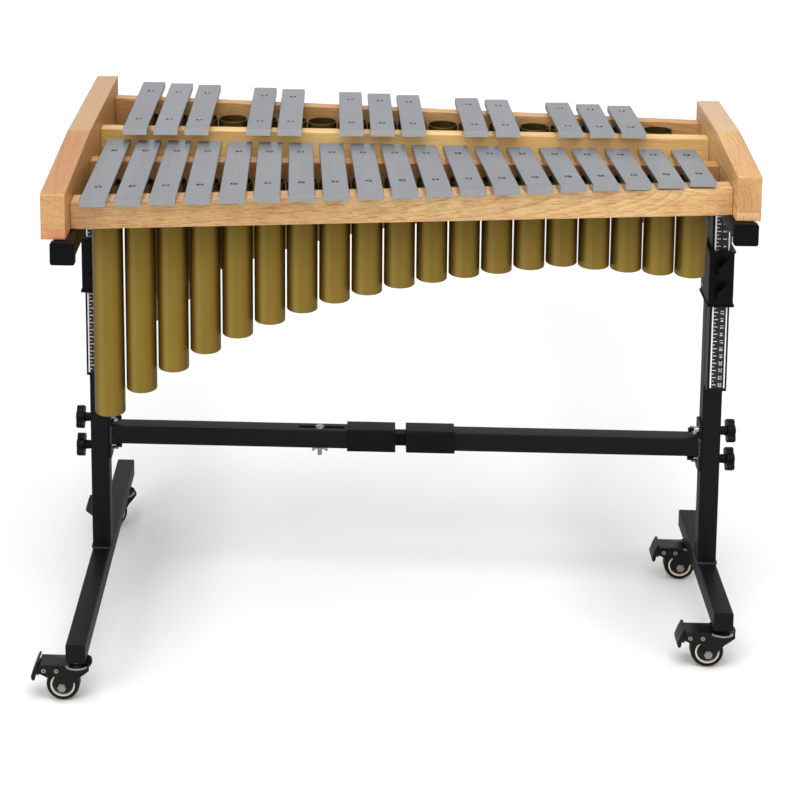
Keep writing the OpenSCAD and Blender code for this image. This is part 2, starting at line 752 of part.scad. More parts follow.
// Soft ring between rail and bar
module cushion(rail_top, bar_top) {
    gap = 0.01;
    translate([0, 0, rail_top + gap]) difference() {
        cylinder(r = 6, h = bar_top - bar_t - rail_top - 2 * gap, $fn = 24);
        translate([0, 0, -1]) cylinder(r = 1.8, h = 20, $fn = 24);
    }
}
module bar_screws() {
    color(screw_silver) place() {
        for (ends = nat_pin_lines) at_nat_pins(ends) screw(nat_rail_top, nat_top);
        at_acc_pins(acc_pin_lines[0]) screw(acc_rail_top, acc_top);
        at_acc_pins(acc_pin_lines[1]) screw(rear_rail_top, acc_top);
    }
}
module bar_cushions() {
    color(cushion_grey) place() {
        for (ends = nat_pin_lines) at_nat_pins(ends) cushion(nat_rail_top, nat_top);
        at_acc_pins(acc_pin_lines[0]) cushion(acc_rail_top, acc_top);
        at_acc_pins(acc_pin_lines[1]) cushion(rear_rail_top, acc_top);
    }
}

// ---- Resonators ----
// Tube length over the place on the scale, longest in the bass, shortest at the
// 15th natural and growing evenly again above it
function res_len(i) = i <= 15
    ? res_short + 60 * (15 - i) / 14 + 138 * pow((15 - i) / 14, 3)
    : res_short + 16.5 * (i - 15) / 4;

// Tube open at the top, with its closed lower edge slightly tapered
module resonator(x, y, mouth, length) {
    taper_h = 0.7;
    translate([x, y, mouth - length]) difference() {
        union() {
            cylinder(r1 = tube_d / 2 - 0.6, r2 = tube_d / 2, h = taper_h);
            translate([0, 0, taper_h]) cylinder(d = tube_d, h = length - taper_h);
        }
        translate([0, 0, 2.5]) cylinder(d = tube_d - 2 * res_wall, h = length);
    }
}
module natural_resonators() {
    color(resonator_bronze) place() for (i = [1:naturals])
        resonator(nat_x(i), line_y(nat_bank_line, nat_x(i)), nat_mouth, res_len(i));
}
// One tube in every gap between naturals, also where there is no accidental
module accidental_resonators() {
    color(resonator_bronze) place() for (i = [1:naturals - 1])
        resonator(acc_x(i), line_y(acc_bank_line, acc_x(i)), acc_mouth, res_len(i + 0.5) + 4);
}

// Flat strip along a bank of tubes, offset from the bank's middle line
module strip(x0, x1, bank, offset_y, z) {
    y0 = line_y(bank, x0) + offset_y;
    y1 = line_y(bank, x1) + offset_y;
    translate([0, 0, z]) linear_extrude(15)
        polygon([[x0, y0 - 1], [x1, y1 - 1], [x1, y1 + 1], [x0, y0 + 1]]);
}
module resonator_brackets() {
    beside = tube_d / 2 + 1.2;
    acc_left = frame_left + 14;
    rear_right = frame_right - 20;
    arm_clear_x = arm_x - half_tube - 2;
    relief = [40, 600, 31];
    color(bracket_grey) place() {
        difference() {
            union() {
                strip(frame_left, frame_right, nat_bank_line, -beside, 600);
                strip(frame_left, frame_right, nat_bank_line, beside, 600);
                strip(acc_left, frame_right, acc_bank_line, -beside, 600);
            }
            // their lower edges stop short of the arms, with room for the stand to draw in
            translate([-arm_clear_x - 20, 0, 595]) cube(relief, center = true);
            translate([arm_clear_x + 6, 0, 595]) cube(relief, center = true);
        }
        strip(acc_left, rear_right, acc_bank_line, beside, 596);
    }
}

base_left();
post_left();
crossbar_left();
crossbar_collar_left();
clamp_left();
crossbar_nuts_left();
riser_left();
height_scale_left();
arm_left();
arm_caps_left();
base_right();
post_right();
crossbar_right();
crossbar_inner();
crossbar_collar_right();
clamp_right();
crossbar_nuts_right();
slot_bolt();
slot_wing_nut();
riser_right();
height_scale_right();
arm_right();
arm_caps_right();
clamp_knob_left_upper();
clamp_knob_left_lower();
clamp_knob_right_upper();
clamp_knob_right_lower();
crossbar_knob_left_upper();
crossbar_knob_left_lower();
crossbar_knob_right_upper();
crossbar_knob_right_lower();
fork_front_left();
wheel_front_left();
tyre_front_left();
brake_front_left();
fork_front_right();
wheel_front_right();
tyre_front_right();
brake_front_right();
fork_rear_left();
wheel_rear_left();
tyre_rear_left();
brake_rear_left();
fork_rear_right();
wheel_rear_right();
tyre_rear_right();
brake_rear_right();
end_block_left();
end_block_right();
rail_front();
rail_inner();
rail_centre();
rail_rear();
natural_bars();
accidental_bars();
bar_screws();
bar_cushions();
natural_resonators();
accidental_resonators();
resonator_brackets();
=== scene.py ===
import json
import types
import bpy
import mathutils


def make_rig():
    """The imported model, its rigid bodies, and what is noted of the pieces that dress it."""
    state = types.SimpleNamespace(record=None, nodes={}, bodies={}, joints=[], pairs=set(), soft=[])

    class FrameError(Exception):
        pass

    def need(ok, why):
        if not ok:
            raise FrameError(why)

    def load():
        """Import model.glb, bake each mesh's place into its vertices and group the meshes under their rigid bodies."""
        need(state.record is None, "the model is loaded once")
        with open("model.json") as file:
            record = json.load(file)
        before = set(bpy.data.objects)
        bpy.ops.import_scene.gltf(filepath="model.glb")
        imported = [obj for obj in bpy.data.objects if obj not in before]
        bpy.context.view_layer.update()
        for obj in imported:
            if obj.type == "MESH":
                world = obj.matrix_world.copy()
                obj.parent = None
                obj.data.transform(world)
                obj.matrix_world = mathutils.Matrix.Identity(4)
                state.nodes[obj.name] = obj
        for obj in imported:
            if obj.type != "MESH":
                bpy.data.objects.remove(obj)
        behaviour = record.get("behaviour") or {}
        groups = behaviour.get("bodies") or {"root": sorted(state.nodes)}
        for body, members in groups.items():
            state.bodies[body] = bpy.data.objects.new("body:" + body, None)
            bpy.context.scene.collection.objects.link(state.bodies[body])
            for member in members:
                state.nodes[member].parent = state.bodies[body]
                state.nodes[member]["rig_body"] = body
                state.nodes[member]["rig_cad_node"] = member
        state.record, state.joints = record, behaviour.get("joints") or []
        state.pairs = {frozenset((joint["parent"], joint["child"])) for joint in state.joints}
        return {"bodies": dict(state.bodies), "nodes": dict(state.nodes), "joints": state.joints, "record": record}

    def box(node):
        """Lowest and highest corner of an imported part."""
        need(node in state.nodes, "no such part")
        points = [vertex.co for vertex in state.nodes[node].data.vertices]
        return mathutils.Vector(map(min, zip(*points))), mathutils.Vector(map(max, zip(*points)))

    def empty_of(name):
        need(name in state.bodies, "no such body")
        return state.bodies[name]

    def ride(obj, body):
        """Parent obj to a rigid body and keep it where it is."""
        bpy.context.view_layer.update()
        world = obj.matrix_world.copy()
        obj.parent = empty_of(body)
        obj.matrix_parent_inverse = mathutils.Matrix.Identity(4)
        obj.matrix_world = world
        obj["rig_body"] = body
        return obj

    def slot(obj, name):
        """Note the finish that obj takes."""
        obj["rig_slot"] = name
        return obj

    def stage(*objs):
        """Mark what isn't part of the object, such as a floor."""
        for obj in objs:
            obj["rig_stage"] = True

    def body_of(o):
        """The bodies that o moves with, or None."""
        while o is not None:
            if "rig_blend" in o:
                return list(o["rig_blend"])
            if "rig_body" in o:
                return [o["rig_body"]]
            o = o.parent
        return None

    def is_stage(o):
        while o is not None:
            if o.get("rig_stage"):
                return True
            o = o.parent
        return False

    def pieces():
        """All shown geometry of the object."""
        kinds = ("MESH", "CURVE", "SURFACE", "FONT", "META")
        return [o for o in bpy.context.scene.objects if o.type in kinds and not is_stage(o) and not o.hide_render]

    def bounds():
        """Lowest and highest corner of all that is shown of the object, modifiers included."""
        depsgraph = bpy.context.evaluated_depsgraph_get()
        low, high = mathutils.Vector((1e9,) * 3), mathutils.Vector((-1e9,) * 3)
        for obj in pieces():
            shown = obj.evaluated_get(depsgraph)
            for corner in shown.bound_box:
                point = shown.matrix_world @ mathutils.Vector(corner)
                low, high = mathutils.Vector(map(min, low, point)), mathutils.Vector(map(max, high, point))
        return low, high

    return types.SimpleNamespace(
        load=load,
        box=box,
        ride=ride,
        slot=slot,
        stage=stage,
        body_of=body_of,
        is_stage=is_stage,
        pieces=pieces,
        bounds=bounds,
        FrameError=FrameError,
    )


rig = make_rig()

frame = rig.load()

import json
import math

import bmesh
import bpy
from mathutils import Matrix, Vector, noise as mnoise

scene = bpy.context.scene
nodes = frame["nodes"]
cad_lo, cad_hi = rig.bounds()


# ------------------------------------------------------------------ reference points, all from the frame
def box_mm(node):
    lo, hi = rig.box(node)
    return lo * 1000.0, hi * 1000.0


pl = box_mm("post_left")
pr = box_mm("post_right")
OX = (pl[0].x + pr[1].x) / 2.0
OY = (pl[0].y + pl[1].y) / 2.0


def S(x, y, z):
    """A point of the stand's own frame, in millimetres, as a point of the row frame in metres."""
    return Vector(((OX + x) / 1000.0, (OY + y) / 1000.0, z / 1000.0))


# ------------------------------------------------------------------ node material helper
class Mat:
    def __init__(self, name):
        self.mat = bpy.data.materials.new(name)
        self.mat.use_nodes = True
        self.t = self.mat.node_tree
        self.t.nodes.clear()
        self.out = self.t.nodes.new("ShaderNodeOutputMaterial")
        self.b = self.t.nodes.new("ShaderNodeBsdfPrincipled")
        self.t.links.new(self.b.outputs[0], self.out.inputs[0])
        self.tc = self.t.nodes.new("ShaderNodeTexCoord")
        scaled = self.vmath("SCALE", self.tc.outputs["Object"], None, 1000.0)
        self.p = scaled  # object place in millimetres
        s = self.t.nodes.new("ShaderNodeSeparateXYZ")
        self.put(s.inputs[0], scaled)
        self.x, self.y, self.z = s.outputs

    def put(self, sock, v):
        if isinstance(v, bpy.types.NodeSocket):
            self.t.links.new(v, sock)
        elif v is not None:
            sock.default_value = v

    def set(self, **kw):
        for k, v in kw.items():
            self.put(self.b.inputs[k.replace("_", " ")], v)

    def vmath(self, op, a, b=None, scale=None):
        n = self.t.nodes.new("ShaderNodeVectorMath")
        n.operation = op
        self.put(n.inputs[0], a)
        if b is not None:
            self.put(n.inputs[1], b)
        if scale is not None:
            self.put(n.inputs["Scale"], scale)
        return n.outputs["Value"] if op in ("DOT_PRODUCT", "LENGTH") else n.outputs[0]

    def math(self, op, a, b=0.0, c=None, clamp=False):
        n = self.t.nodes.new("ShaderNodeMath")
        n.operation = op
        n.use_clamp = clamp
        self.put(n.inputs[0], a)
        self.put(n.inputs[1], b)
        if c is not None:
            self.put(n.inputs[2], c)
        return n.outputs[0]

    def comb(self, x, y, z):
        n = self.t.nodes.new("ShaderNodeCombineXYZ")
        for i, v in enumerate((x, y, z)):
            self.put(n.inputs[i], v)
        return n.outputs[0]

    def stretched(self, sx, sy, sz, ox=0.0, oy=0.0, oz=0.0):
        return self.comb(
            self.math("MULTIPLY_ADD", self.x, sx, ox),
            self.math("MULTIPLY_ADD", self.y, sy, oy),
            self.math("MULTIPLY_ADD", self.z, sz, oz),
        )

    def noise(self, vec, scale=1.0, detail=2.0, rough=0.5, dist=0.0):
        n = self.t.nodes.new("ShaderNodeTexNoise")
        n.noise_dimensions = "3D"
        self.put(n.inputs["Vector"], vec)
        n.inputs["Scale"].default_value = scale
        n.inputs["Detail"].default_value = detail
        n.inputs["Roughness"].default_value = rough
        n.inputs["Distortion"].default_value = dist
        return n.outputs[0]

    def ramp(self, fac, stops, interp="LINEAR"):
        n = self.t.nodes.new("ShaderNodeValToRGB")
        n.color_ramp.interpolation = interp
        els = n.color_ramp.elements
        while len(els) < len(stops):
            els.new(0.5)
        for e, (pos, col) in zip(els, stops):
            e.position = pos
            e.color = col if len(col) == 4 else (*col, 1.0)
        self.put(n.inputs[0], fac)
        return n.outputs[0]

    def mix(self, fac, a, b, mode="MIX"):
        n = self.t.nodes.new("ShaderNodeMix")
        n.data_type = "RGBA"
        n.blend_type = mode
        self.put(n.inputs["Factor"], fac)
        self.put(n.inputs[6], a if isinstance(a, bpy.types.NodeSocket) else (*a[:3], 1.0))
        self.put(n.inputs[7], b if isinstance(b, bpy.types.NodeSocket) else (*b[:3], 1.0))
        return n.outputs[2]

    def band(self, v, lo, hi):
        """1 between lo and hi, 0 outside."""
        a = self.math("GREATER_THAN", v, lo)
        b = self.math("LESS_THAN", v, hi)
        return self.math("MULTIPLY", a, b)

    def smooth(self, v, lo, hi):
        n = self.t.nodes.new("ShaderNodeMapRange")
        n.interpolation_type = "SMOOTHSTEP"
        self.put(n.inputs["Value"], v)
        n.inputs["From Min"].default_value = lo
        n.inputs["From Max"].default_value = hi
        return n.outputs[0]

    def bump(self, height, strength, dist_mm, normal=None):
        n = self.t.nodes.new("ShaderNodeBump")
        n.inputs["Strength"].default_value = strength
        n.inputs["Distance"].default_value = dist_mm / 1000.0
        self.put(n.inputs["Height"], height)
        if normal is not None:
            self.put(n.inputs["Normal"], normal)
        return n.outputs[0]

    def normal_axis(self, i):
        g = self.t.nodes.new("ShaderNodeNewGeometry")
        s = self.t.nodes.new("ShaderNodeSeparateXYZ")
        self.put(s.inputs[0], g.outputs["True Normal"])
        return s.outputs[i]

    def edge(self, radius_mm, samples=4):
        """Close to 1 along edges, 0 on flats."""
        bv = self.t.nodes.new("ShaderNodeBevel")
        bv.samples = samples
        bv.inputs["Radius"].default_value = radius_mm / 1000.0
        g = self.t.nodes.new("ShaderNodeNewGeometry")
        d = self.vmath("DOT_PRODUCT", bv.outputs[0], g.outputs["True Normal"])
        return self.math("SUBTRACT", 1.0, d, clamp=True)


def lin(r, g, b):
    """sRGB 0..255 to linear."""
    out = []
    for c in (r, g, b):
        c = c / 255.0
        out.append(c / 12.92 if c <= 0.04045 else ((c + 0.055) / 1.055) ** 2.4)
    return tuple(out)


def powder_coat(name, base=0.0052, rough=0.40, grain=1.1, depth=0.05, spec=0.17):
    m = Mat(name)
    fine = m.noise(m.p, grain, 3.0, 0.6)
    broad = m.noise(m.p, 0.02, 2.0)
    col = m.ramp(broad, [(0.3, (base * 0.80, base * 0.88, base * 1.10)), (0.7, (base * 1.02, base * 1.10, base * 1.36))])
    # painted highlight along the edges
    e = m.smooth(m.edge(1.2), 0.02, 0.35)
    col = m.mix(m.math("MULTIPLY", e, 0.35), col, (base * 4.2, base * 4.2, base * 4.4))
    r = m.math("ADD", rough - 0.06, m.math("MULTIPLY", m.noise(m.p, 0.35, 3.0), 0.12))
    m.set(Base_Color=col, Roughness=r, Metallic=0.0, Normal=m.bump(fine, 0.35, depth))
    m.b.inputs["Specular IOR Level"].default_value = spec
    return m.mat


def moulded(name, base=0.0036, rough=0.42, grain=2.2, spec=0.16):
    m = Mat(name)
    fine = m.noise(m.p, grain, 2.0, 0.65)
    broad = m.noise(m.p, 0.05, 2.0)
    col = m.ramp(broad, [(0.3, (base, base, base * 1.05)), (0.7, (base * 1.35, base * 1.35, base * 1.4))])
    # painted highlight along the edges
    e = m.smooth(m.edge(0.9), 0.02, 0.4)
    col = m.mix(m.math("MULTIPLY", e, 0.4), col, (base * 5, base * 5, base * 5.2))
    m.set(Base_Color=col, Roughness=m.math("ADD", rough - 0.05, m.math("MULTIPLY", broad, 0.1)), Normal=m.bump(fine, 0.4, 0.06))
    m.b.inputs["Specular IOR Level"].default_value = spec
    return m.mat


def zinc_nodes(m):
    """Colour, roughness and normal of bright zinc plating."""
    spangle = m.noise(m.p, 1.4, 3.0, 0.6)
    col = m.ramp(spangle, [(0.3, (0.34, 0.35, 0.37)), (0.7, (0.60, 0.61, 0.63))])
    rough = m.math("ADD", 0.14, m.math("MULTIPLY", spangle, 0.16))
    return col, rough, spangle


def zinc(name, lift=1.0, metal=1.0):
    m = Mat(name)
    col, rough, s = zinc_nodes(m)
    if lift != 1.0:
        col = m.mix(1.0, col, (lift, lift, lift), "MULTIPLY")
    m.set(Base_Color=col, Roughness=rough, Metallic=metal, Normal=m.bump(s, 0.2, 0.03))
    return m.mat


def screw_steel(name):
    """Bright pan head with painted shade on its rim and recess and painted glints on its crown."""
    m = Mat(name)
    col, rough, s = zinc_nodes(m)
    # painted shade on the rim and the recess walls; painted glints in patches on the crown
    up = m.smooth(m.normal_axis(2), 0.55, 0.95)
    glint = m.smooth(m.noise(m.p, 0.30, 1.0), 0.42, 0.52)
    top = m.mix(glint, (0.07, 0.074, 0.08), m.mix(1.0, col, (2.3, 2.3, 2.3), "MULTIPLY"))
    m.set(Base_Color=m.mix(up, (0.020, 0.021, 0.024), top), Roughness=rough, Metallic=0.75, Normal=m.bump(s, 0.2, 0.03))
    return m.mat


def wood(name, axis, pith, spacing, light, dark, line, tilt=(0.0, 0.0), wob=5.0, warp=0.0045, contrast=0.45, fibres=0.24, strip=None, crease=None, blush=None, front=0.0, top_shade=0.0, bold=0.42, inner_shade=0):
    """Lacquered solid wood. axis is the grain's direction, pith the place of the rings' middle across it."""
    m = Mat(name)
    if axis == "X":
        u, v, w = m.x, m.y, m.z
    else:
        u, v, w = m.y, m.x, m.z
    # slow waves of the trunk, so that the rings meet the faces in long tongues
    n1 = m.noise(m.comb(m.math("MULTIPLY", u, warp), m.math("MULTIPLY", v, 0.012), m.math("MULTIPLY", w, 0.012)), 1.0, 2.0, 0.45)
    n2 = m.noise(m.comb(m.math("MULTIPLY_ADD", u, warp * 0.8, 7.3), m.math("MULTIPLY", v, 0.012), m.math("MULTIPLY", w, 0.012)), 1.0, 2.0, 0.45)
    vv = m.math("ADD", m.math("MULTIPLY_ADD", u, tilt[0], -pith[0]), m.math("MULTIPLY_ADD", m.math("SUBTRACT", n1, 0.5), wob * 2.0, v))
    ww = m.math("ADD", m.math("MULTIPLY_ADD", u, tilt[1], -pith[1]), m.math("MULTIPLY_ADD", m.math("SUBTRACT", n2, 0.5), wob * 2.0, w))
    r = m.math("SQRT", m.math("ADD", m.math("MULTIPLY", vv, vv), m.math("MULTIPLY", ww, ww)))
    # uneven years
    r = m.math("DIVIDE", r, spacing)
    yr = m.noise(m.comb(r, 0.0, 0.0), 0.45, 1.0)
    r = m.math("MULTIPLY_ADD", yr, 1.6, r)
    f = m.math("FRACT", r)
    late = m.ramp(f, [(0.0, (0.25,) * 3), (0.12, (0.0,) * 3), (0.6, (0.16,) * 3), (0.9, (1.0,) * 3), (1.0, (0.35,) * 3)], "EASE")
    year_tone = m.noise(m.comb(m.math("FLOOR", r), 3.1, 0.0), 1.7, 0.0)
    late = m.math("MULTIPLY", late, m.smooth(year_tone, 0.30, 0.60))
    # fibres and pores
    if axis == "X":
        fib = m.stretched(0.03, 1.3, 1.3)
        por = m.stretched(0.22, 3.4, 3.4)
        tone = m.stretched(0.0042, 0.018, 0.018, 2.0)
    else:
        fib = m.stretched(1.3, 0.03, 1.3)
        por = m.stretched(3.4, 0.22, 3.4)
        tone = m.stretched(0.018, 0.0042, 0.018, 2.0)
    fibre = m.noise(fib, 1.0, 4.0, 0.65)
    if axis == "X":
        stk = m.stretched(0.011, 0.42, 0.42, 9.0)
    else:
        stk = m.stretched(0.42, 0.011, 0.42, 9.0)
    streaks = m.noise(stk, 1.0, 3.0, 0.55, 0.3)
    pores = m.smooth(m.noise(por, 1.0, 1.0, 0.5), 0.62, 0.72)
    tones = m.noise(tone, 1.0, 2.0, 0.5)
    col = m.mix(m.smooth(tones, 0.3, 0.7), light, dark)
    if blush is not None:
        col = m.mix(m.math("MULTIPLY", m.smooth(m.noise(tone, 1.7, 1.0), 0.45, 0.72), 0.55), col, blush)
    col = m.mix(m.math("MULTIPLY", late, contrast), col, line)
    col = m.mix(m.math("MULTIPLY", m.smooth(fibre, 0.40, 0.70), fibres), col, tuple(c * 0.78 for c in line))
    col = m.mix(m.math("MULTIPLY", m.smooth(streaks, 0.47, 0.70), bold), col, line)
    col = m.mix(m.math("MULTIPLY", m.smooth(streaks, 0.46, 0.25), 0.25), col, tuple(min(1.0, c * 1.12) for c in light))
    if front:
        # fine level lines on the faces that look along the grain
        fl = m.noise(m.stretched(0.035, 0.02, 0.85, 5.0), 1.0, 3.0, 0.6)
        fm = m.math("MULTIPLY", m.smooth(m.math("ABSOLUTE", m.normal_axis(1)), 0.8, 0.95), m.smooth(fl, 0.46, 0.62))
        col = m.mix(m.math("MULTIPLY", fm, front), col, line)
    col = m.mix(m.math("MULTIPLY", pores, 0.26), col, tuple(c * 0.45 for c in line))
    if top_shade:
        # painted shade: the sloping top is coloured darker than the front
        up = m.smooth(m.normal_axis(2), 0.5, 0.8)
        col = m.mix(m.math("MULTIPLY", up, top_shade), col, m.mix(1.0, col, (0.70, 0.57, 0.48), "MULTIPLY"))
    if inner_shade:
        # painted shade on the face towards the bars, darker and more orange
        inner_face_shade = m.smooth(m.math("MULTIPLY", m.normal_axis(0), inner_shade), 0.75, 0.95)
        col = m.mix(inner_face_shade, col, m.mix(1.0, col, (0.74, 0.62, 0.42), "MULTIPLY"))
    # sawn ends drink more lacquer
    ax = m.normal_axis(0 if axis == "X" else 1)
    end = m.smooth(m.math("ABSOLUTE", ax), 0.75, 0.95)
    dark_end = m.mix(1.0, col, (0.93, 0.86, 0.78), "MULTIPLY")
    col = m.mix(m.math("MULTIPLY", end, 0.55), col, dark_end)
    if crease is not None:
        # the block's top behind the crease takes its own colour and grain
        y0, rear = crease
        behind = m.math("MULTIPLY", m.math("GREATER_THAN", m.y, y0), m.math("GREATER_THAN", m.normal_axis(2), 0.5))
        grainy = m.mix(m.math("MULTIPLY", m.smooth(fibre, 0.3, 0.62), 0.5), rear, tuple(c * 0.8 for c in rear))
        col = m.mix(m.math("MULTIPLY", behind, 0.75), col, grainy)
    if strip is not None:
        # glued strip along the lower edge, with its own ring pattern
        z1, scol, sline = strip
        below = m.math("LESS_THAN", m.z, z1)
        sn = m.noise(m.stretched(0.9, 0.05, 0.12, 4.0), 1.0, 3.0, 0.6)
        s = m.mix(m.math("MULTIPLY", m.smooth(sn, 0.42, 0.66), 0.6), scol, sline)
        col = m.mix(below, col, s)
        seam = m.math("SUBTRACT", 1.0, m.smooth(m.math("ABSOLUTE", m.math("SUBTRACT", m.z, z1)), 0.1, 0.7))
        col = m.mix(m.math("MULTIPLY", seam, 0.4), col, tuple(c * 0.5 for c in sline))
    # painted highlight along the edges
    e = m.smooth(m.edge(1.3, 4), 0.02, 0.4)
    col = m.mix(m.math("MULTIPLY", e, 0.18), col, tuple(min(1.0, c * 1.25) for c in light))
    rough = m.math("ADD", 0.36, m.math("MULTIPLY", fibre, 0.16))
    h = m.math("SUBTRACT", fibre, m.math("MULTIPLY", pores, 0.8))
    m.set(Base_Color=col, Roughness=rough, Coat_Weight=0.18, Coat_Roughness=0.28, Normal=m.bump(h, 0.16, 0.12))
    m.b.inputs["Specular IOR Level"].default_value = 0.4
    return m.mat


def rear_line(node):
    """Slope and offset in millimetres of the line along the rear ends of a row of bars."""
    v = [(q.co.x * 1000.0, q.co.y * 1000.0) for q in nodes[node].data.vertices]
    x0 = min(q[0] for q in v)
    x1 = max(q[0] for q in v)
    ya = max(q[1] for q in v if q[0] < x0 + 60.0)
    yb = max(q[1] for q in v if q[0] > x1 - 60.0)
    k = (yb - ya) / (x1 - x0 - 60.0)
    return k, ya - k * (x0 + 30.0)


def satin_bar(name):
    fan = rear_line("natural_bars")
    m = Mat(name)
    blast = m.noise(m.p, 3.2, 2.0, 0.6)
    streak = m.noise(m.stretched(1.1, 0.012, 1.1), 1.0, 3.0, 0.55)
    cloud = m.noise(m.p, 0.03, 3.0, 0.55)
    # each bar has its own slightly different anodising
    per = m.noise(m.comb(m.math("FLOOR", m.math("MULTIPLY", m.x, 1.0 / 41.2)), m.math("GREATER_THAN", m.z, 658.0), 0.0), 2.3, 0.0)
    col = m.ramp(m.math("MULTIPLY_ADD", per, 0.55, m.math("MULTIPLY", cloud, 0.45)), [(0.3, (0.290, 0.298, 0.320)), (0.7, (0.362, 0.371, 0.396))])
    col = m.mix(m.math("MULTIPLY", m.smooth(streak, 0.35, 0.7), 0.20), col, (0.25, 0.26, 0.28))
    # the rear ends of the lower row lie in the shade of the upper one
    far = m.math("SUBTRACT", m.y, m.math("MULTIPLY_ADD", m.x, fan[0], fan[1]))
    under = m.math("MULTIPLY", m.smooth(far, -64.0, -1.0), m.math("LESS_THAN", m.z, 658.0))
    col = m.mix(m.math("MULTIPLY", under, 0.58), col, (0.13, 0.135, 0.145))
    # painted highlight along the edges
    e = m.smooth(m.edge(0.8, 4), 0.02, 0.4)
    col = m.mix(m.math("MULTIPLY", e, 0.5), col, (0.60, 0.61, 0.63))
    # sawn ends are duller than the faces; the upper row's ends are painted lighter than the lower row's, as painted
    # light
    end = m.smooth(m.math("ABSOLUTE", m.normal_axis(1)), 0.85, 0.97)
    saw = m.noise(m.stretched(0.25, 1.0, 1.6), 1.0, 3.0, 0.6)
    high = m.math("GREATER_THAN", m.z, 658.0)
    low_end = m.ramp(saw, [(0.3, (0.29, 0.297, 0.305)), (0.7, (0.385, 0.392, 0.40))])
    lit_upper_end = m.ramp(saw, [(0.3, (0.42, 0.43, 0.445)), (0.7, (0.52, 0.53, 0.545))])
    col = m.mix(end, col, m.mix(high, low_end, lit_upper_end))
    rough = m.math("ADD", m.math("MULTIPLY_ADD", end, 0.22, 0.19), m.math("MULTIPLY", cloud, 0.08))
    m.set(Base_Color=col, Roughness=rough, Metallic=m.math("MULTIPLY_ADD", end, -0.40, 0.85), Normal=m.bump(blast, 0.10, 0.02))
    return m.mat


def gold_anodised(name):
    m = Mat(name)
    streak = m.noise(m.stretched(0.9, 0.9, 0.006), 1.0, 3.0, 0.6)
    cloud = m.noise(m.stretched(0.03, 0.03, 0.012), 1.0, 3.0, 0.55)
    col = m.ramp(cloud, [(0.3, (0.345, 0.226, 0.040)), (0.7, (0.395, 0.264, 0.052))])
    col = m.mix(m.math("MULTIPLY", m.smooth(streak, 0.35, 0.7), 0.12), col, (0.26, 0.165, 0.028))
    # painted highlight along the rims and edges
    e = m.smooth(m.edge(0.6, 4), 0.02, 0.4)
    col = m.mix(m.math("MULTIPLY", e, 0.5), col, (0.40, 0.30, 0.09))
    # painted shade towards the tube's sides, where the surface turns away from the view
    lw = m.t.nodes.new("ShaderNodeLayerWeight")
    lw.inputs["Blend"].default_value = 0.5
    flank_shade = m.smooth(lw.outputs["Facing"], 0.30, 0.92)
    col = m.mix(m.math("MULTIPLY", flank_shade, 0.72), col, (0.050, 0.030, 0.004))
    # painted highlight: a lengthwise lighter band left of the middle, and a darker strip of painted shade right of it
    nx = m.normal_axis(0)
    painted_sheen = m.math("SUBTRACT", 1.0, m.smooth(m.math("ABSOLUTE", m.math("ADD", nx, 0.42)), 0.02, 0.34))
    col = m.mix(m.math("MULTIPLY", painted_sheen, 0.30), col, (0.56, 0.41, 0.13))
    col = m.mix(m.math("MULTIPLY", m.smooth(nx, 0.20, 0.62), 0.34), col, (0.20, 0.125, 0.015))
    # the shade of the wooden frame on the upper ends
    shade = m.smooth(m.z, 470.0, 612.0)
    col = m.mix(m.math("MULTIPLY", m.math("MULTIPLY", shade, shade), 0.55), col, (0.045, 0.030, 0.006))
    rough = m.math("ADD", 0.30, m.math("MULTIPLY", cloud, 0.10))
    m.set(Base_Color=col, Roughness=rough, Metallic=0.85, Normal=m.bump(streak, 0.05, 0.02))
    m.b.inputs["Specular IOR Level"].default_value = 0.3
    return m.mat


def rubber(name, base=0.012, rough=0.75, grain=2.6, spec=0.2):
    m = Mat(name)
    fine = m.noise(m.p, grain, 3.0, 0.6)
    dust = m.noise(m.p, 0.12, 3.0)
    col = m.ramp(dust, [(0.35, (base,) * 3), (0.8, (base * 2.2,) * 3)])
    m.set(Base_Color=col, Roughness=rough, Normal=m.bump(fine, 0.35, 0.08))
    m.b.inputs["Specular IOR Level"].default_value = spec
    return m.mat


def caster_axes(m, centre, axis):
    """Places along the wheel's axle, along the fork and the distance from the axle, in millimetres."""
    dx = m.math("SUBTRACT", m.x, centre.x)
    dy = m.math("SUBTRACT", m.y, centre.y)
    w = m.math("ADD", m.math("MULTIPLY", dx, axis[0]), m.math("MULTIPLY", dy, axis[1]))
    t = m.math("SUBTRACT", m.math("MULTIPLY", dx, axis[1]), m.math("MULTIPLY", dy, axis[0]))
    dz = m.math("SUBTRACT", m.z, centre.z)
    r = m.math("SQRT", m.math("ADD", m.math("MULTIPLY", t, t), m.math("MULTIPLY", dz, dz)))
    return w, t, r


def fork_steel(name, centre, axis, z_race):
    """Black painted pressing with bright axle nut and hollow rivets; the ball race is dark with painted glints."""
    m = Mat(name)
    fine = m.noise(m.p, 1.6, 3.0, 0.6)
    broad = m.noise(m.p, 0.06, 2.0)
    base = m.ramp(broad, [(0.3, (0.0026, 0.0026, 0.0028)), (0.7, (0.0048, 0.0048, 0.0052))])
    # painted highlight along the edges
    e = m.smooth(m.edge(0.8, 4), 0.02, 0.4)
    base = m.mix(m.math("MULTIPLY", e, 0.5), base, (0.035, 0.035, 0.037))
    zc, zr, _ = zinc_nodes(m)
    w, t, r = caster_axes(m, centre, axis)
    out = m.math("GREATER_THAN", m.math("ABSOLUTE", w), 12.56)
    # painted glints: the ball race shows bright zinc only in scattered patches
    race = m.math("MULTIPLY", m.band(m.z, z_race, z_race + 1.3), m.smooth(m.noise(m.p, 0.16, 1.0), 0.50, 0.60))
    k = m.math("MAXIMUM", out, race)
    m.set(
        Base_Color=m.mix(k, base, zc),
        Metallic=k,
        Roughness=m.math("ADD", m.math("MULTIPLY", m.math("SUBTRACT", 1.0, k), 0.24), m.math("MULTIPLY", k, zr)),
        Normal=m.bump(fine, 0.25, 0.04),
    )
    m.b.inputs["Specular IOR Level"].default_value = 0.3
    return m.mat


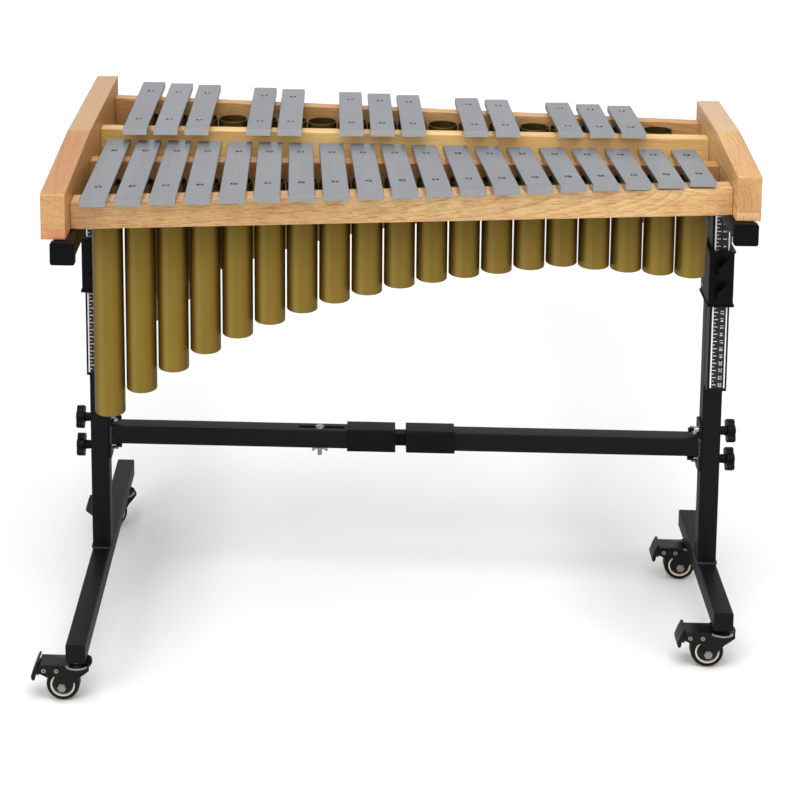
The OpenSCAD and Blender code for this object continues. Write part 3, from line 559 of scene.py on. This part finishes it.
def wheel_nylon(name, centre, axis):
    """Wheel with a cream ring next to the tyre; the recessed web the ring encloses is painted near black as shade."""
    m = Mat(name)
    broad = m.noise(m.p, 0.25, 3.0)
    fine = m.noise(m.p, 3.0, 2.0)
    w, t, r = caster_axes(m, centre, axis)
    cream_c = m.ramp(broad, [(0.3, lin(206, 190, 162)), (0.7, lin(226, 212, 186))])
    # painted shade: the recessed web is coloured near black
    shaded_web = m.ramp(broad, [(0.3, (0.010, 0.008, 0.007)), (0.7, (0.022, 0.018, 0.015))])
    ring = m.smooth(r, 12.9, 13.5)
    m.set(Base_Color=m.mix(ring, shaded_web, cream_c), Roughness=0.38, Normal=m.bump(fine, 0.12, 0.05))
    m.b.inputs["Specular IOR Level"].default_value = 0.3
    return m.mat


def printed(name):
    m = Mat(name)
    wear = m.noise(m.p, 0.8, 3.0, 0.6)
    col = m.ramp(wear, [(0.25, (0.72, 0.72, 0.72)), (0.6, (0.92, 0.92, 0.91))])
    m.set(Base_Color=col, Roughness=0.45, Normal=m.bump(wear, 0.1, 0.02))
    return m.mat


# ------------------------------------------------------------------ modifiers that round the frame's edges
def weld_group():
    """Joins the split corners of an imported mesh and shades it smooth below 32 degrees."""
    g = bpy.data.node_groups.new("joined_corners", "GeometryNodeTree")
    g.interface.new_socket("Geometry", in_out="INPUT", socket_type="NodeSocketGeometry")
    g.interface.new_socket("Geometry", in_out="OUTPUT", socket_type="NodeSocketGeometry")
    gi = g.nodes.new("NodeGroupInput")
    go = g.nodes.new("NodeGroupOutput")
    rm = g.nodes.new("GeometryNodeRemoveAttribute")
    rm.inputs["Name"].default_value = "custom_normal"
    mg = g.nodes.new("GeometryNodeMergeByDistance")
    mg.inputs["Distance"].default_value = 2e-6
    ea = g.nodes.new("GeometryNodeInputMeshEdgeAngle")
    cmp = g.nodes.new("FunctionNodeCompare")
    cmp.data_type = "FLOAT"
    cmp.operation = "LESS_THAN"
    cmp.inputs[1].default_value = math.radians(32)
    sf = g.nodes.new("GeometryNodeSetShadeSmooth")
    sf.domain = "FACE"
    se = g.nodes.new("GeometryNodeSetShadeSmooth")
    se.domain = "EDGE"
    L = g.links.new
    L(gi.outputs[0], rm.inputs["Geometry"])
    L(rm.outputs[0], mg.inputs["Geometry"])
    L(mg.outputs[0], sf.inputs["Geometry"])
    L(sf.outputs[0], se.inputs["Geometry"])
    L(ea.outputs["Unsigned Angle"], cmp.inputs[0])
    L(cmp.outputs[0], se.inputs["Shade Smooth"])
    L(se.outputs[0], go.inputs[0])
    return g


WELD = weld_group()


def join(node):
    w = nodes[node].modifiers.new("joined", "NODES")
    w.node_group = WELD


def soften(node, width_mm, segs=2, angle=40.0):
    o = nodes[node]
    join(node)
    b = o.modifiers.new("edges", "BEVEL")
    b.width = width_mm / 1000.0
    b.segments = segs
    b.limit_method = "ANGLE"
    b.angle_limit = math.radians(angle)
    b.use_clamp_overlap = True
    b.harden_normals = False
    b.miter_outer = "MITER_ARC"


def paint(node, mat):
    o = nodes[node]
    if not o.material_slots:
        o.data.materials.append(mat)
    for s in o.material_slots:
        s.material = mat


# ------------------------------------------------------------------ mesh builders for the added detail
def link_mesh(name, verts, faces, mat, body, slot, smooth=True):
    me = bpy.data.meshes.new(name)
    me.from_pydata([tuple(v) for v in verts], [], faces)
    me.validate()
    if smooth:
        me.shade_smooth()
        me.set_sharp_from_angle(angle=math.radians(38))
    o = bpy.data.objects.new(name, me)
    scene.collection.objects.link(o)
    me.materials.append(mat)
    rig.ride(o, body)
    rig.slot(o, slot)
    return o


def pan_head(centre, axis, r, h, verts, faces, seg=24, turn=0.0):
    """Domed screw head with a hexagonal socket, its seat at centre and its crown along axis (millimetres)."""
    axis = Vector(axis).normalized()
    a = axis.orthogonal().normalized()
    b = axis.cross(a)
    hexr = r * 0.46
    prof = [(r * 0.97, 0.0, "c"), (r, h * 0.18, "c"), (r * 0.97, h * 0.5, "c"), (r * 0.82, h * 0.84, "c"), (r * 0.62, h, "c"),
            (hexr, h, "h"), (hexr * 0.96, h * 0.92, "h"), (hexr * 0.96, h * 0.3, "h")]
    base = len(verts)
    for rad, z, kind in prof:
        for i in range(seg):
            t = 2 * math.pi * i / seg + turn
            rr = rad
            if kind == "h":
                q = (t - turn) % (math.pi / 3) - math.pi / 6
                rr = rad * math.cos(math.pi / 6) / math.cos(q)
            p = Vector(centre) + a * (rr * math.cos(t)) + b * (rr * math.sin(t)) + axis * z
            verts.append(p)
    for k in range(len(prof) - 1):
        for i in range(seg):
            j = (i + 1) % seg
            faces.append((base + k * seg + i, base + k * seg + j, base + (k + 1) * seg + j, base + (k + 1) * seg + i))
    faces.append(tuple(base + i for i in range(seg))[::-1])
    last = base + (len(prof) - 1) * seg
    faces.append(tuple(last + i for i in range(seg)))


def rounded_loop(c, u, v, hu, hv, r, step=0.8):
    """Points along a rectangle with rounded corners, in the plane of u and v."""
    pts = []
    corners = [(hu - r, hv - r, 0), (-(hu - r), hv - r, 90), (-(hu - r), -(hv - r), 180), (hu - r, -(hv - r), 270)]
    ring = []
    for cu, cv, a0 in corners:
        for k in range(5):
            t = math.radians(a0 + 90 * k / 4)
            ring.append((cu + r * math.cos(t), cv + r * math.sin(t)))
    ring.append(ring[0])
    for (x0, y0), (x1, y1) in zip(ring, ring[1:]):
        d = math.hypot(x1 - x0, y1 - y0)
        n = max(1, int(round(d / step)))
        for k in range(n):
            pts.append((x0 + (x1 - x0) * k / n, y0 + (y1 - y0) * k / n))
    return [Vector(c) + Vector(u) * x + Vector(v) * y for x, y in pts]


def bead(name, pts, axis, rad, body, mat, seg=8):
    """A weld bead along a closed loop of points (millimetres), with the ripples the puddle leaves."""
    axis = Vector(axis).normalized()
    n = len(pts)
    centre = sum(pts, Vector()) / n
    verts, faces = [], []
    run = 0.0
    for i, p in enumerate(pts):
        nxt, prv = pts[(i + 1) % n], pts[i - 1]
        run += (p - prv).length if i else 0.0
        tan = (nxt - prv).normalized()
        out = tan.cross(axis).normalized()
        if out.dot(p - centre) < 0:
            out = -out
        ripple = 1.0 + 0.13 * math.sin(2 * math.pi * run / 2.3) + 0.12 * mnoise.noise(p * 0.35)
        for k in range(seg):
            t = 2 * math.pi * k / seg
            verts.append((p + (out * math.cos(t) + axis * math.sin(t)) * rad * ripple) / 1000.0)
    for i in range(n):
        j = (i + 1) % n
        for k in range(seg):
            q = (k + 1) % seg
            faces.append((i * seg + k, i * seg + q, j * seg + q, j * seg + k))
    return link_mesh(name, verts, faces, mat, body, "black_steel")


# ------------------------------------------------------------------ materials
M_black = powder_coat("powder_coat_black")
M_inner = powder_coat("powder_coat_inner_tube", 0.0030, 0.42, spec=0.09)
M_weld = powder_coat("weld_under_coat", 0.014, 0.28, 0.8, 0.12, spec=0.45)
M_plastic = moulded("moulded_black", 0.0024, spec=0.14)
M_cap = moulded("moulded_black_caps", 0.0022, 0.38, 1.4, spec=0.12)
M_knob = moulded("moulded_black_knobs", 0.0024, 0.40, 1.8, spec=0.14)
M_zinc = zinc("zinc_plated")
M_screw = screw_steel("nickel_screw")
M_bar = satin_bar("satin_aluminium_bars")
M_gold = gold_anodised("gold_anodised_tubes")
M_tyre = rubber("tyre_rubber", 0.0038, 0.42, spec=0.2)
M_ring = rubber("cushion_rubber", 0.006, 0.8)
M_print = printed("printed_white")

honey = lin(222, 187, 129)
honey_d = lin(208, 164, 105)
rose = lin(214, 160, 114)
line_c = lin(168, 108, 62)

rf = box_mm("rail_front")
M_rail_front = wood("wood_front_rail", "X", (rf[0].y - 26.0, 668.0), 3.1, honey, honey_d, line_c, tilt=(0.003, 0.002), wob=7.0, warp=0.0068, contrast=0.46, fibres=0.40, blush=rose, bold=0.60)
M_rail_inner = wood("wood_inner_rail", "X", (30.0, 540.0), 5.0, lin(206, 152, 98), lin(190, 132, 80), lin(152, 92, 48), tilt=(0.01, 0.01), contrast=0.5)
M_rail_centre = wood("wood_centre_rail", "X", (20.0, 690.0), 6.0, lin(225, 190, 127), lin(211, 171, 107), lin(178, 124, 66), tilt=(0.012, 0.02), wob=11.0, contrast=0.36)
M_rail_rear = wood("wood_rear_rail", "X", (260.0, 560.0), 5.0, lin(200, 157, 105), lin(183, 137, 86), lin(148, 96, 50), tilt=(0.02, 0.01), contrast=0.46)
bl = box_mm("end_block_left")
br = box_mm("end_block_right")
zs = bl[0].z + 12.0
# crease of the blocks' tops, found on the frame's own mesh: the foremost point at full height
def crease_y(node):
    o = nodes[node]
    top = max(v.co.z for v in o.data.vertices)
    return min(v.co.y for v in o.data.vertices if v.co.z > top - 1e-4) * 1000.0


M_block_left = wood("wood_left_block", "Y", (bl[0].x - 30.0, 600.0), 6.0, lin(206, 166, 115), lin(194, 148, 98), lin(164, 110, 62), tilt=(0.02, -0.05), wob=6.0, contrast=0.30, fibres=0.34,
                    strip=(zs, lin(206, 144, 98), lin(170, 102, 64)), crease=(crease_y("end_block_left"), lin(176, 145, 108)), blush=lin(196, 142, 100), front=0.35, top_shade=0.85, inner_shade=1)
M_block_right = wood("wood_right_block", "Y", (br[0].x - 16.0, 640.0), 4.6, lin(207, 171, 115), lin(196, 152, 98), lin(158, 100, 52), tilt=(0.012, -0.02), wob=4.0, contrast=0.62, fibres=0.30,
                     strip=(zs, lin(218, 172, 120), lin(188, 130, 80)), crease=(crease_y("end_block_right"), lin(188, 160, 128)), blush=lin(200, 152, 105), top_shade=0.25)


def bracket_mat(name):
    m = Mat(name)
    brushed = m.noise(m.stretched(0.02, 1.4, 2.2), 1.0, 3.0, 0.6)
    # painted shade: the strips' aluminium is coloured dark, as the shade behind the front rail
    col = m.ramp(brushed, [(0.3, (0.16, 0.15, 0.13)), (0.7, (0.24, 0.23, 0.20))])
    m.set(Base_Color=col, Roughness=0.45, Metallic=0.85, Normal=m.bump(brushed, 0.1, 0.03))
    return m.mat


def scale_tape(name):
    m = Mat(name)
    fine = m.noise(m.p, 2.0, 2.0)
    broad = m.noise(m.p, 0.08, 2.0)
    col = m.ramp(broad, [(0.3, (0.006,) * 3), (0.7, (0.011,) * 3)])
    m.set(Base_Color=col, Roughness=0.42, Normal=m.bump(fine, 0.15, 0.02))
    return m.mat


for n in ("base_left", "post_left", "crossbar_left", "riser_left", "arm_left", "base_right", "post_right", "crossbar_right", "riser_right", "arm_right"):
    paint(n, M_black)
    soften(n, 0.5, 2)
paint("crossbar_inner", M_inner)
for n in ("clamp_left", "clamp_right", "crossbar_collar_left", "crossbar_collar_right"):
    paint(n, M_plastic)
    soften(n, 0.7, 2)
for n in ("arm_caps_left", "arm_caps_right"):
    paint(n, M_cap)
    soften(n, 1.4, 3)
for side in ("left", "right"):
    for lvl in ("upper", "lower"):
        paint(f"clamp_knob_{side}_{lvl}", M_knob)
        soften(f"clamp_knob_{side}_{lvl}", 0.8, 2)
        paint(f"crossbar_knob_{side}_{lvl}", M_knob)
        soften(f"crossbar_knob_{side}_{lvl}", 1.0, 3)
    paint(f"crossbar_nuts_{side}", M_zinc)
    paint(f"height_scale_{side}", scale_tape(f"scale_tape_{side}"))
paint("slot_bolt", M_zinc)
paint("slot_wing_nut", M_zinc)
paint("bar_screws", M_screw)
paint("bar_cushions", M_ring)
for n in ("natural_bars", "accidental_bars"):
    paint(n, M_bar)
    join(n)
for n in ("natural_resonators", "accidental_resonators"):
    paint(n, M_gold)
    soften(n, 0.35, 2, 50.0)
paint("resonator_brackets", bracket_mat("tie_strip_aluminium_in_shade"))
for n, mt, w in (("rail_front", M_rail_front, 1.6), ("rail_inner", M_rail_inner, 1.2), ("rail_centre", M_rail_centre, 1.4), ("rail_rear", M_rail_rear, 1.4),
                 ("end_block_left", M_block_left, 1.8), ("end_block_right", M_block_right, 1.8)):
    paint(n, mt)
    soften(n, w, 3, 12.0 if n.startswith("end") else 30.0)

joint_axis = {j["name"]: j["axis"] for j in frame["record"]["behaviour"]["joints"] if "axis" in j}
for c in ("front_left", "front_right", "rear_left", "rear_right"):
    tyre_lo, tyre_hi = box_mm("tyre_" + c)
    centre = (tyre_lo + tyre_hi) / 2.0
    axle = joint_axis["wheel_spin_" + c]
    paint("fork_" + c, fork_steel("caster_fork_" + c, centre, axle, 50.4))
    paint("wheel_" + c, wheel_nylon("caster_wheel_" + c, centre, axle))
    paint("tyre_" + c, M_tyre)
    paint("brake_" + c, powder_coat("brake_lever_" + c, 0.0055, 0.30, 1.4, spec=0.3))
    soften("brake_" + c, 0.5, 2)
    soften("fork_" + c, 0.3, 2)
    soften("tyre_" + c, 0.3, 2)
    soften("wheel_" + c, 0.3, 2)


# ------------------------------------------------------------------ height scales: border lines, ticks and numerals
def glyphs(text):
    """Outline triangles of a numeral, from Blender's own built-in font."""
    cu = bpy.data.curves.new("numeral", "FONT")
    cu.body = text
    cu.size = 1.0
    cu.align_x = "CENTER"
    cu.align_y = "CENTER"
    o = bpy.data.objects.new("numeral", cu)
    scene.collection.objects.link(o)
    bpy.context.view_layer.update()
    dg = bpy.context.evaluated_depsgraph_get()
    me = bpy.data.meshes.new_from_object(o.evaluated_get(dg))
    vs = [v.co.copy() for v in me.vertices]
    fs = [tuple(p.vertices) for p in me.polygons]
    bpy.data.objects.remove(o)
    bpy.data.curves.remove(cu)
    bpy.data.meshes.remove(me)
    return vs, fs


def marks(side, body):
    lo, hi = box_mm(f"height_scale_{side}")
    xm = (lo.x + hi.x) / 2.0
    half = (hi.x - lo.x) / 2.0
    yf = lo.y - 0.035
    t = 0.04
    verts, faces = [], []

    def slab(x0, x1, z0, z1):
        b = len(verts)
        for x, y, z in ((x0, yf, z0), (x1, yf, z0), (x1, yf, z1), (x0, yf, z1), (x0, yf + t, z0), (x1, yf + t, z0), (x1, yf + t, z1), (x0, yf + t, z1)):
            verts.append(Vector((x, y, z)) / 1000.0)
        for f in ((0, 1, 2, 3), (7, 6, 5, 4), (4, 5, 1, 0), (5, 6, 2, 1), (6, 7, 3, 2), (7, 4, 0, 3)):
            faces.append(tuple(b + k for k in f))

    z0, z1 = lo.z + 0.6, hi.z - 0.6
    slab(xm - half + 0.3, xm - half + 2.1, z0, z1)
    slab(xm + half - 1.9, xm + half - 0.3, z0, z1)
    zero = hi.z - 6.2
    for k in range(0, 47):
        z = zero - 5.0 * k
        if z < z0 + 0.5:
            break
        ln = 5.2 if k % 2 == 0 else 2.6
        slab(xm - half + 2.6, xm - half + 2.6 + ln, z - 0.4, z + 0.4)
    n = 1
    while zero - 10.0 * n > z0 + 2.0:
        vs, fs = glyphs(str(n))
        zc = zero - 10.0 * n
        size = 6.1
        b = len(verts)
        for v in vs:
            # read from above downwards: the text's right is -Z and its top is +X
            verts.append(Vector((xm + 3.0 + v.y * size, yf + 0.005, zc - v.x * size)) / 1000.0)
        for f in fs:
            faces.append(tuple(b + k for k in f))
        n += 1
    o = link_mesh(f"scale_marks_{side}", verts, faces, M_print, body, "scale", smooth=False)
    return o


marks("left", "keyboard")
marks("right", "right_riser")


# ------------------------------------------------------------------ welds of the stand
def weld_post(side, sgn, body):
    lo, hi = box_mm(f"post_{side}")
    c = (lo + hi) / 2.0
    bead(f"weld_post_{side}", rounded_loop((c.x, c.y, lo.z + 0.1), (1, 0, 0), (0, 1, 0), 12.6, 12.6, 2.2), (0, 0, 1), 1.9, body, M_weld)
    xin = lo.x if sgn > 0 else hi.x
    xc = xin - sgn * 3.0
    zc = (box_mm(f"crossbar_{side}")[0].z + box_mm(f"crossbar_{side}")[1].z) / 2.0
    bead(f"weld_crossbar_{side}", rounded_loop((xc, c.y, zc), (0, 1, 0), (0, 0, 1), 12.7, 12.7, 2.4), (1, 0, 0), 1.9, body, M_weld)


weld_post("left", -1, "left_leg")
weld_post("right", 1, "right_leg")
for side, body in (("left", "keyboard"), ("right", "right_riser" if "right_riser" in frame["bodies"] else "keyboard")):
    lo, hi = box_mm(f"riser_{side}")
    b_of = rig.body_of(nodes[f"arm_{side}"]) if hasattr(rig, "body_of") else body
    c = (lo + hi) / 2.0
    bead(f"weld_arm_{side}", rounded_loop((c.x, c.y, hi.z - 0.2), (1, 0, 0), (0, 1, 0), 12.6, 12.6, 2.2), (0, 0, 1), 1.6, body, M_weld)


# ------------------------------------------------------------------ small screws
def screws(name, items, body, slot, mat):
    verts, faces = [], []
    for c, ax, r, h in items:
        pan_head(c, ax, r, h, verts, faces, turn=0.3)
    verts = [v / 1000.0 for v in verts]
    return link_mesh(name, verts, faces, mat, body, slot)


for side, sgn, body in (("left", -1, "left_leg"), ("right", 1, "right_leg")):
    lo, hi = box_mm(f"clamp_{side}")
    ps = box_mm(f"post_{side}")
    cx = (lo.x + hi.x) / 2.0
    half = 16.0
    yb = (ps[0].y + ps[1].y) / 2.0
    items = []
    for z in (lo.z + 14.0, hi.z - 14.0):
        for s in (-1, 1):
            items.append(((cx + s * (half - 0.1), yb, z), (s, 0, 0), 3.1, 1.9))
    screws(f"clamp_screws_{side}", items, body, "zinc", M_zinc)

# screws that hold the arms to the end blocks, heads on the arms' undersides
for side, sgn, body in (("left", -1, "keyboard"), ("right", 1, None)):
    lo, hi = box_mm(f"arm_{side}")
    if body is None:
        body = [b for b, ns in frame["record"]["behaviour"]["bodies"].items() if f"arm_{side}" in ns][0]
    cx = (lo.x + hi.x) / 2.0
    ys = [lo.y + 26.0, lo.y + (hi.y - lo.y) * 0.36, hi.y - 40.0]
    items = [((cx, y, lo.z + 0.1), (0, 0, -1), 4.2, 2.6) for y in ys]
    screws(f"arm_screws_{side}", items, body, "zinc", M_zinc)


# ------------------------------------------------------------------ studio
FLOOR_GLOW = 0.32


def floor():
    verts, faces = [], []
    rings, seg = 40, 96
    for i in range(rings + 1):
        r = 0.02 + 14.0 * (i / rings) ** 1.6
        z = -0.0003
        for k in range(seg):
            t = 2 * math.pi * k / seg
            verts.append((r * math.cos(t), r * math.sin(t), z))
    for i in range(rings):
        for k in range(seg):
            q = (k + 1) % seg
            faces.append((i * seg + k, (i + 1) * seg + k, (i + 1) * seg + q, i * seg + q))
    faces.append(tuple(range(seg)))
    me = bpy.data.meshes.new("studio_floor")
    me.from_pydata(verts, [], faces)
    me.validate()
    o = bpy.data.objects.new("studio_floor", me)
    scene.collection.objects.link(o)
    m = Mat("studio_floor")
    n = m.noise(m.p, 0.002, 2.0)
    lp = m.t.nodes.new("ShaderNodeLightPath")
    white = m.ramp(n, [(0.3, (0.84, 0.84, 0.84)), (0.7, (0.86, 0.86, 0.86))])
    # the floor is white to the camera and grey to glossy rays: painted shade in its reflections on the parts
    m.set(Base_Color=m.mix(lp.outputs["Is Glossy Ray"], white, (0.42, 0.42, 0.42)), Roughness=0.9)
    far = m.smooth(m.vmath("LENGTH", m.p), 900.0, 2600.0)
    # painted light: a camera-only glow on the floor behind the stand, between its legs and outside them, that lightens
    # its cast shadow there
    ax = m.math("ABSOLUTE", m.x)
    mid = m.math("SUBTRACT", 1.0, m.smooth(ax, 190.0, 330.0))
    out = m.math("MULTIPLY", m.smooth(ax, 400.0, 520.0), 0.65)
    shadow_lift = m.math("MULTIPLY", m.smooth(m.y, -350.0, -20.0), m.math("ADD", mid, out))
    near = m.math("SUBTRACT", 1.0, far)
    glow = m.math("MULTIPLY_ADD", far, FLOOR_GLOW, m.math("MULTIPLY", m.math("MULTIPLY", shadow_lift, near), 0.13))
    m.set(Emission_Color=(1.0, 1.0, 1.0, 1.0), Emission_Strength=m.math("MULTIPLY", lp.outputs["Is Camera Ray"], glow))
    m.b.inputs["Specular IOR Level"].default_value = 0.0
    me.materials.append(m.mat)
    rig.stage(o)
    return o


floor()

world = bpy.data.worlds.new("studio")
scene.world = world
world.use_nodes = True
wt = world.node_tree
wt.nodes.clear()
wo = wt.nodes.new("ShaderNodeOutputWorld")
bg = wt.nodes.new("ShaderNodeBackground")
tcw = wt.nodes.new("ShaderNodeTexCoord")
sepw = wt.nodes.new("ShaderNodeSeparateXYZ")
rw = wt.nodes.new("ShaderNodeValToRGB")
wt.links.new(tcw.outputs["Generated"], sepw.inputs[0])
mr = wt.nodes.new("ShaderNodeMapRange")
wt.links.new(sepw.outputs[2], mr.inputs["Value"])
mr.inputs["From Min"].default_value = -0.1
mr.inputs["From Max"].default_value = 1.0
wt.links.new(mr.outputs[0], rw.inputs[0])
els = rw.color_ramp.elements
els[0].position, els[0].color = 0.0, (0.78, 0.78, 0.78, 1)
els[1].position, els[1].color = 1.0, (1.0, 1.0, 1.0, 1)
lpw = wt.nodes.new("ShaderNodeLightPath")
mxw = wt.nodes.new("ShaderNodeMix")
mxw.data_type = "RGBA"
wt.links.new(lpw.outputs["Is Camera Ray"], mxw.inputs["Factor"])
wt.links.new(rw.outputs[0], mxw.inputs[6])
mxw.inputs[7].default_value = (1.3, 1.3, 1.3, 1.0)
wt.links.new(mxw.outputs[2], bg.inputs[0])
bg.inputs[1].default_value = 0.86
wt.links.new(bg.outputs[0], wo.inputs[0])


def area(name, loc, target, size, power, size_y=None, color=(1, 1, 1)):
    d = bpy.data.lights.new(name, "AREA")
    d.energy = power
    d.color = color
    d.shape = "RECTANGLE"
    d.size = size
    d.size_y = size_y or size
    o = bpy.data.objects.new(name, d)
    scene.collection.objects.link(o)
    o.location = loc
    o.rotation_euler = (Vector(target) - Vector(loc)).to_track_quat("-Z", "Y").to_euler()
    return o


area("overhead_softbox", (0.05, -0.75, 2.6), (0, 0.05, 0.3), 2.0, 42.0, 1.4)
area("key_softbox", (-2.0, -2.2, 2.1), (0, 0, 0.5), 1.4, 26.0)
area("fill_softbox", (2.4, -1.9, 1.6), (0, 0, 0.5), 1.4, 14.0)

# ------------------------------------------------------------------ camera at the fitted view
cam_d = bpy.data.cameras.new("camera")
cam = bpy.data.objects.new("camera", cam_d)
scene.collection.objects.link(cam)
scene.camera = cam
f_px, cx, cy = 1889.91, 251.287, -99.549
theta, psi, rho = 0.16328, -0.05972, -0.00424
C = Vector((-45.480, -2402.108, 1377.415)) / 1000.0
fwd = Vector((math.sin(psi) * math.cos(theta), math.cos(psi) * math.cos(theta), -math.sin(theta)))
right = Vector((math.cos(psi), -math.sin(psi), 0.0))
down = fwd.cross(right)
rr = right * math.cos(rho) - down * math.sin(rho)
dd = right * math.sin(rho) + down * math.cos(rho)
rot = Matrix((rr, -dd, -fwd)).transposed()
cam.rotation_mode = "QUATERNION"
cam.rotation_quaternion = rot.to_quaternion()
cam.location = C
cam_d.sensor_width = 36.0
cam_d.sensor_fit = "HORIZONTAL"
cam_d.lens = f_px / 800.0 * 36.0
cam_d.clip_start, cam_d.clip_end = 0.05, 60.0
# the lens shift belongs to this one standpoint, so it is driven by the camera's own place
for path, value in (("shift_x", (400.0 - cx) / 800.0), ("shift_y", (cy - 400.0) / 800.0)):
    d = cam_d.driver_add(path).driver
    d.type = "SCRIPTED"
    v = d.variables.new()
    v.name = "ly"
    v.type = "TRANSFORMS"
    v.targets[0].id = cam
    v.targets[0].transform_type = "LOC_Y"
    v.targets[0].transform_space = "WORLD_SPACE"
    d.expression = f"{value:.6f} if abs(ly - ({C.y:.6f})) < 0.0005 else 0.0"

scene.view_settings.view_transform = "Standard"
scene.view_settings.look = "None"
scene.view_settings.exposure = 0.0
scene.cycles.use_denoising = True
scene.cycles.max_bounces = 8
scene.cycles.diffuse_bounces = 4
scene.cycles.glossy_bounces = 5

vis_lo, vis_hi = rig.bounds()
with open("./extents.json", "w") as f:
    json.dump({"cad": [list(cad_lo), list(cad_hi)], "visual": [list(vis_lo), list(vis_hi)]}, f)
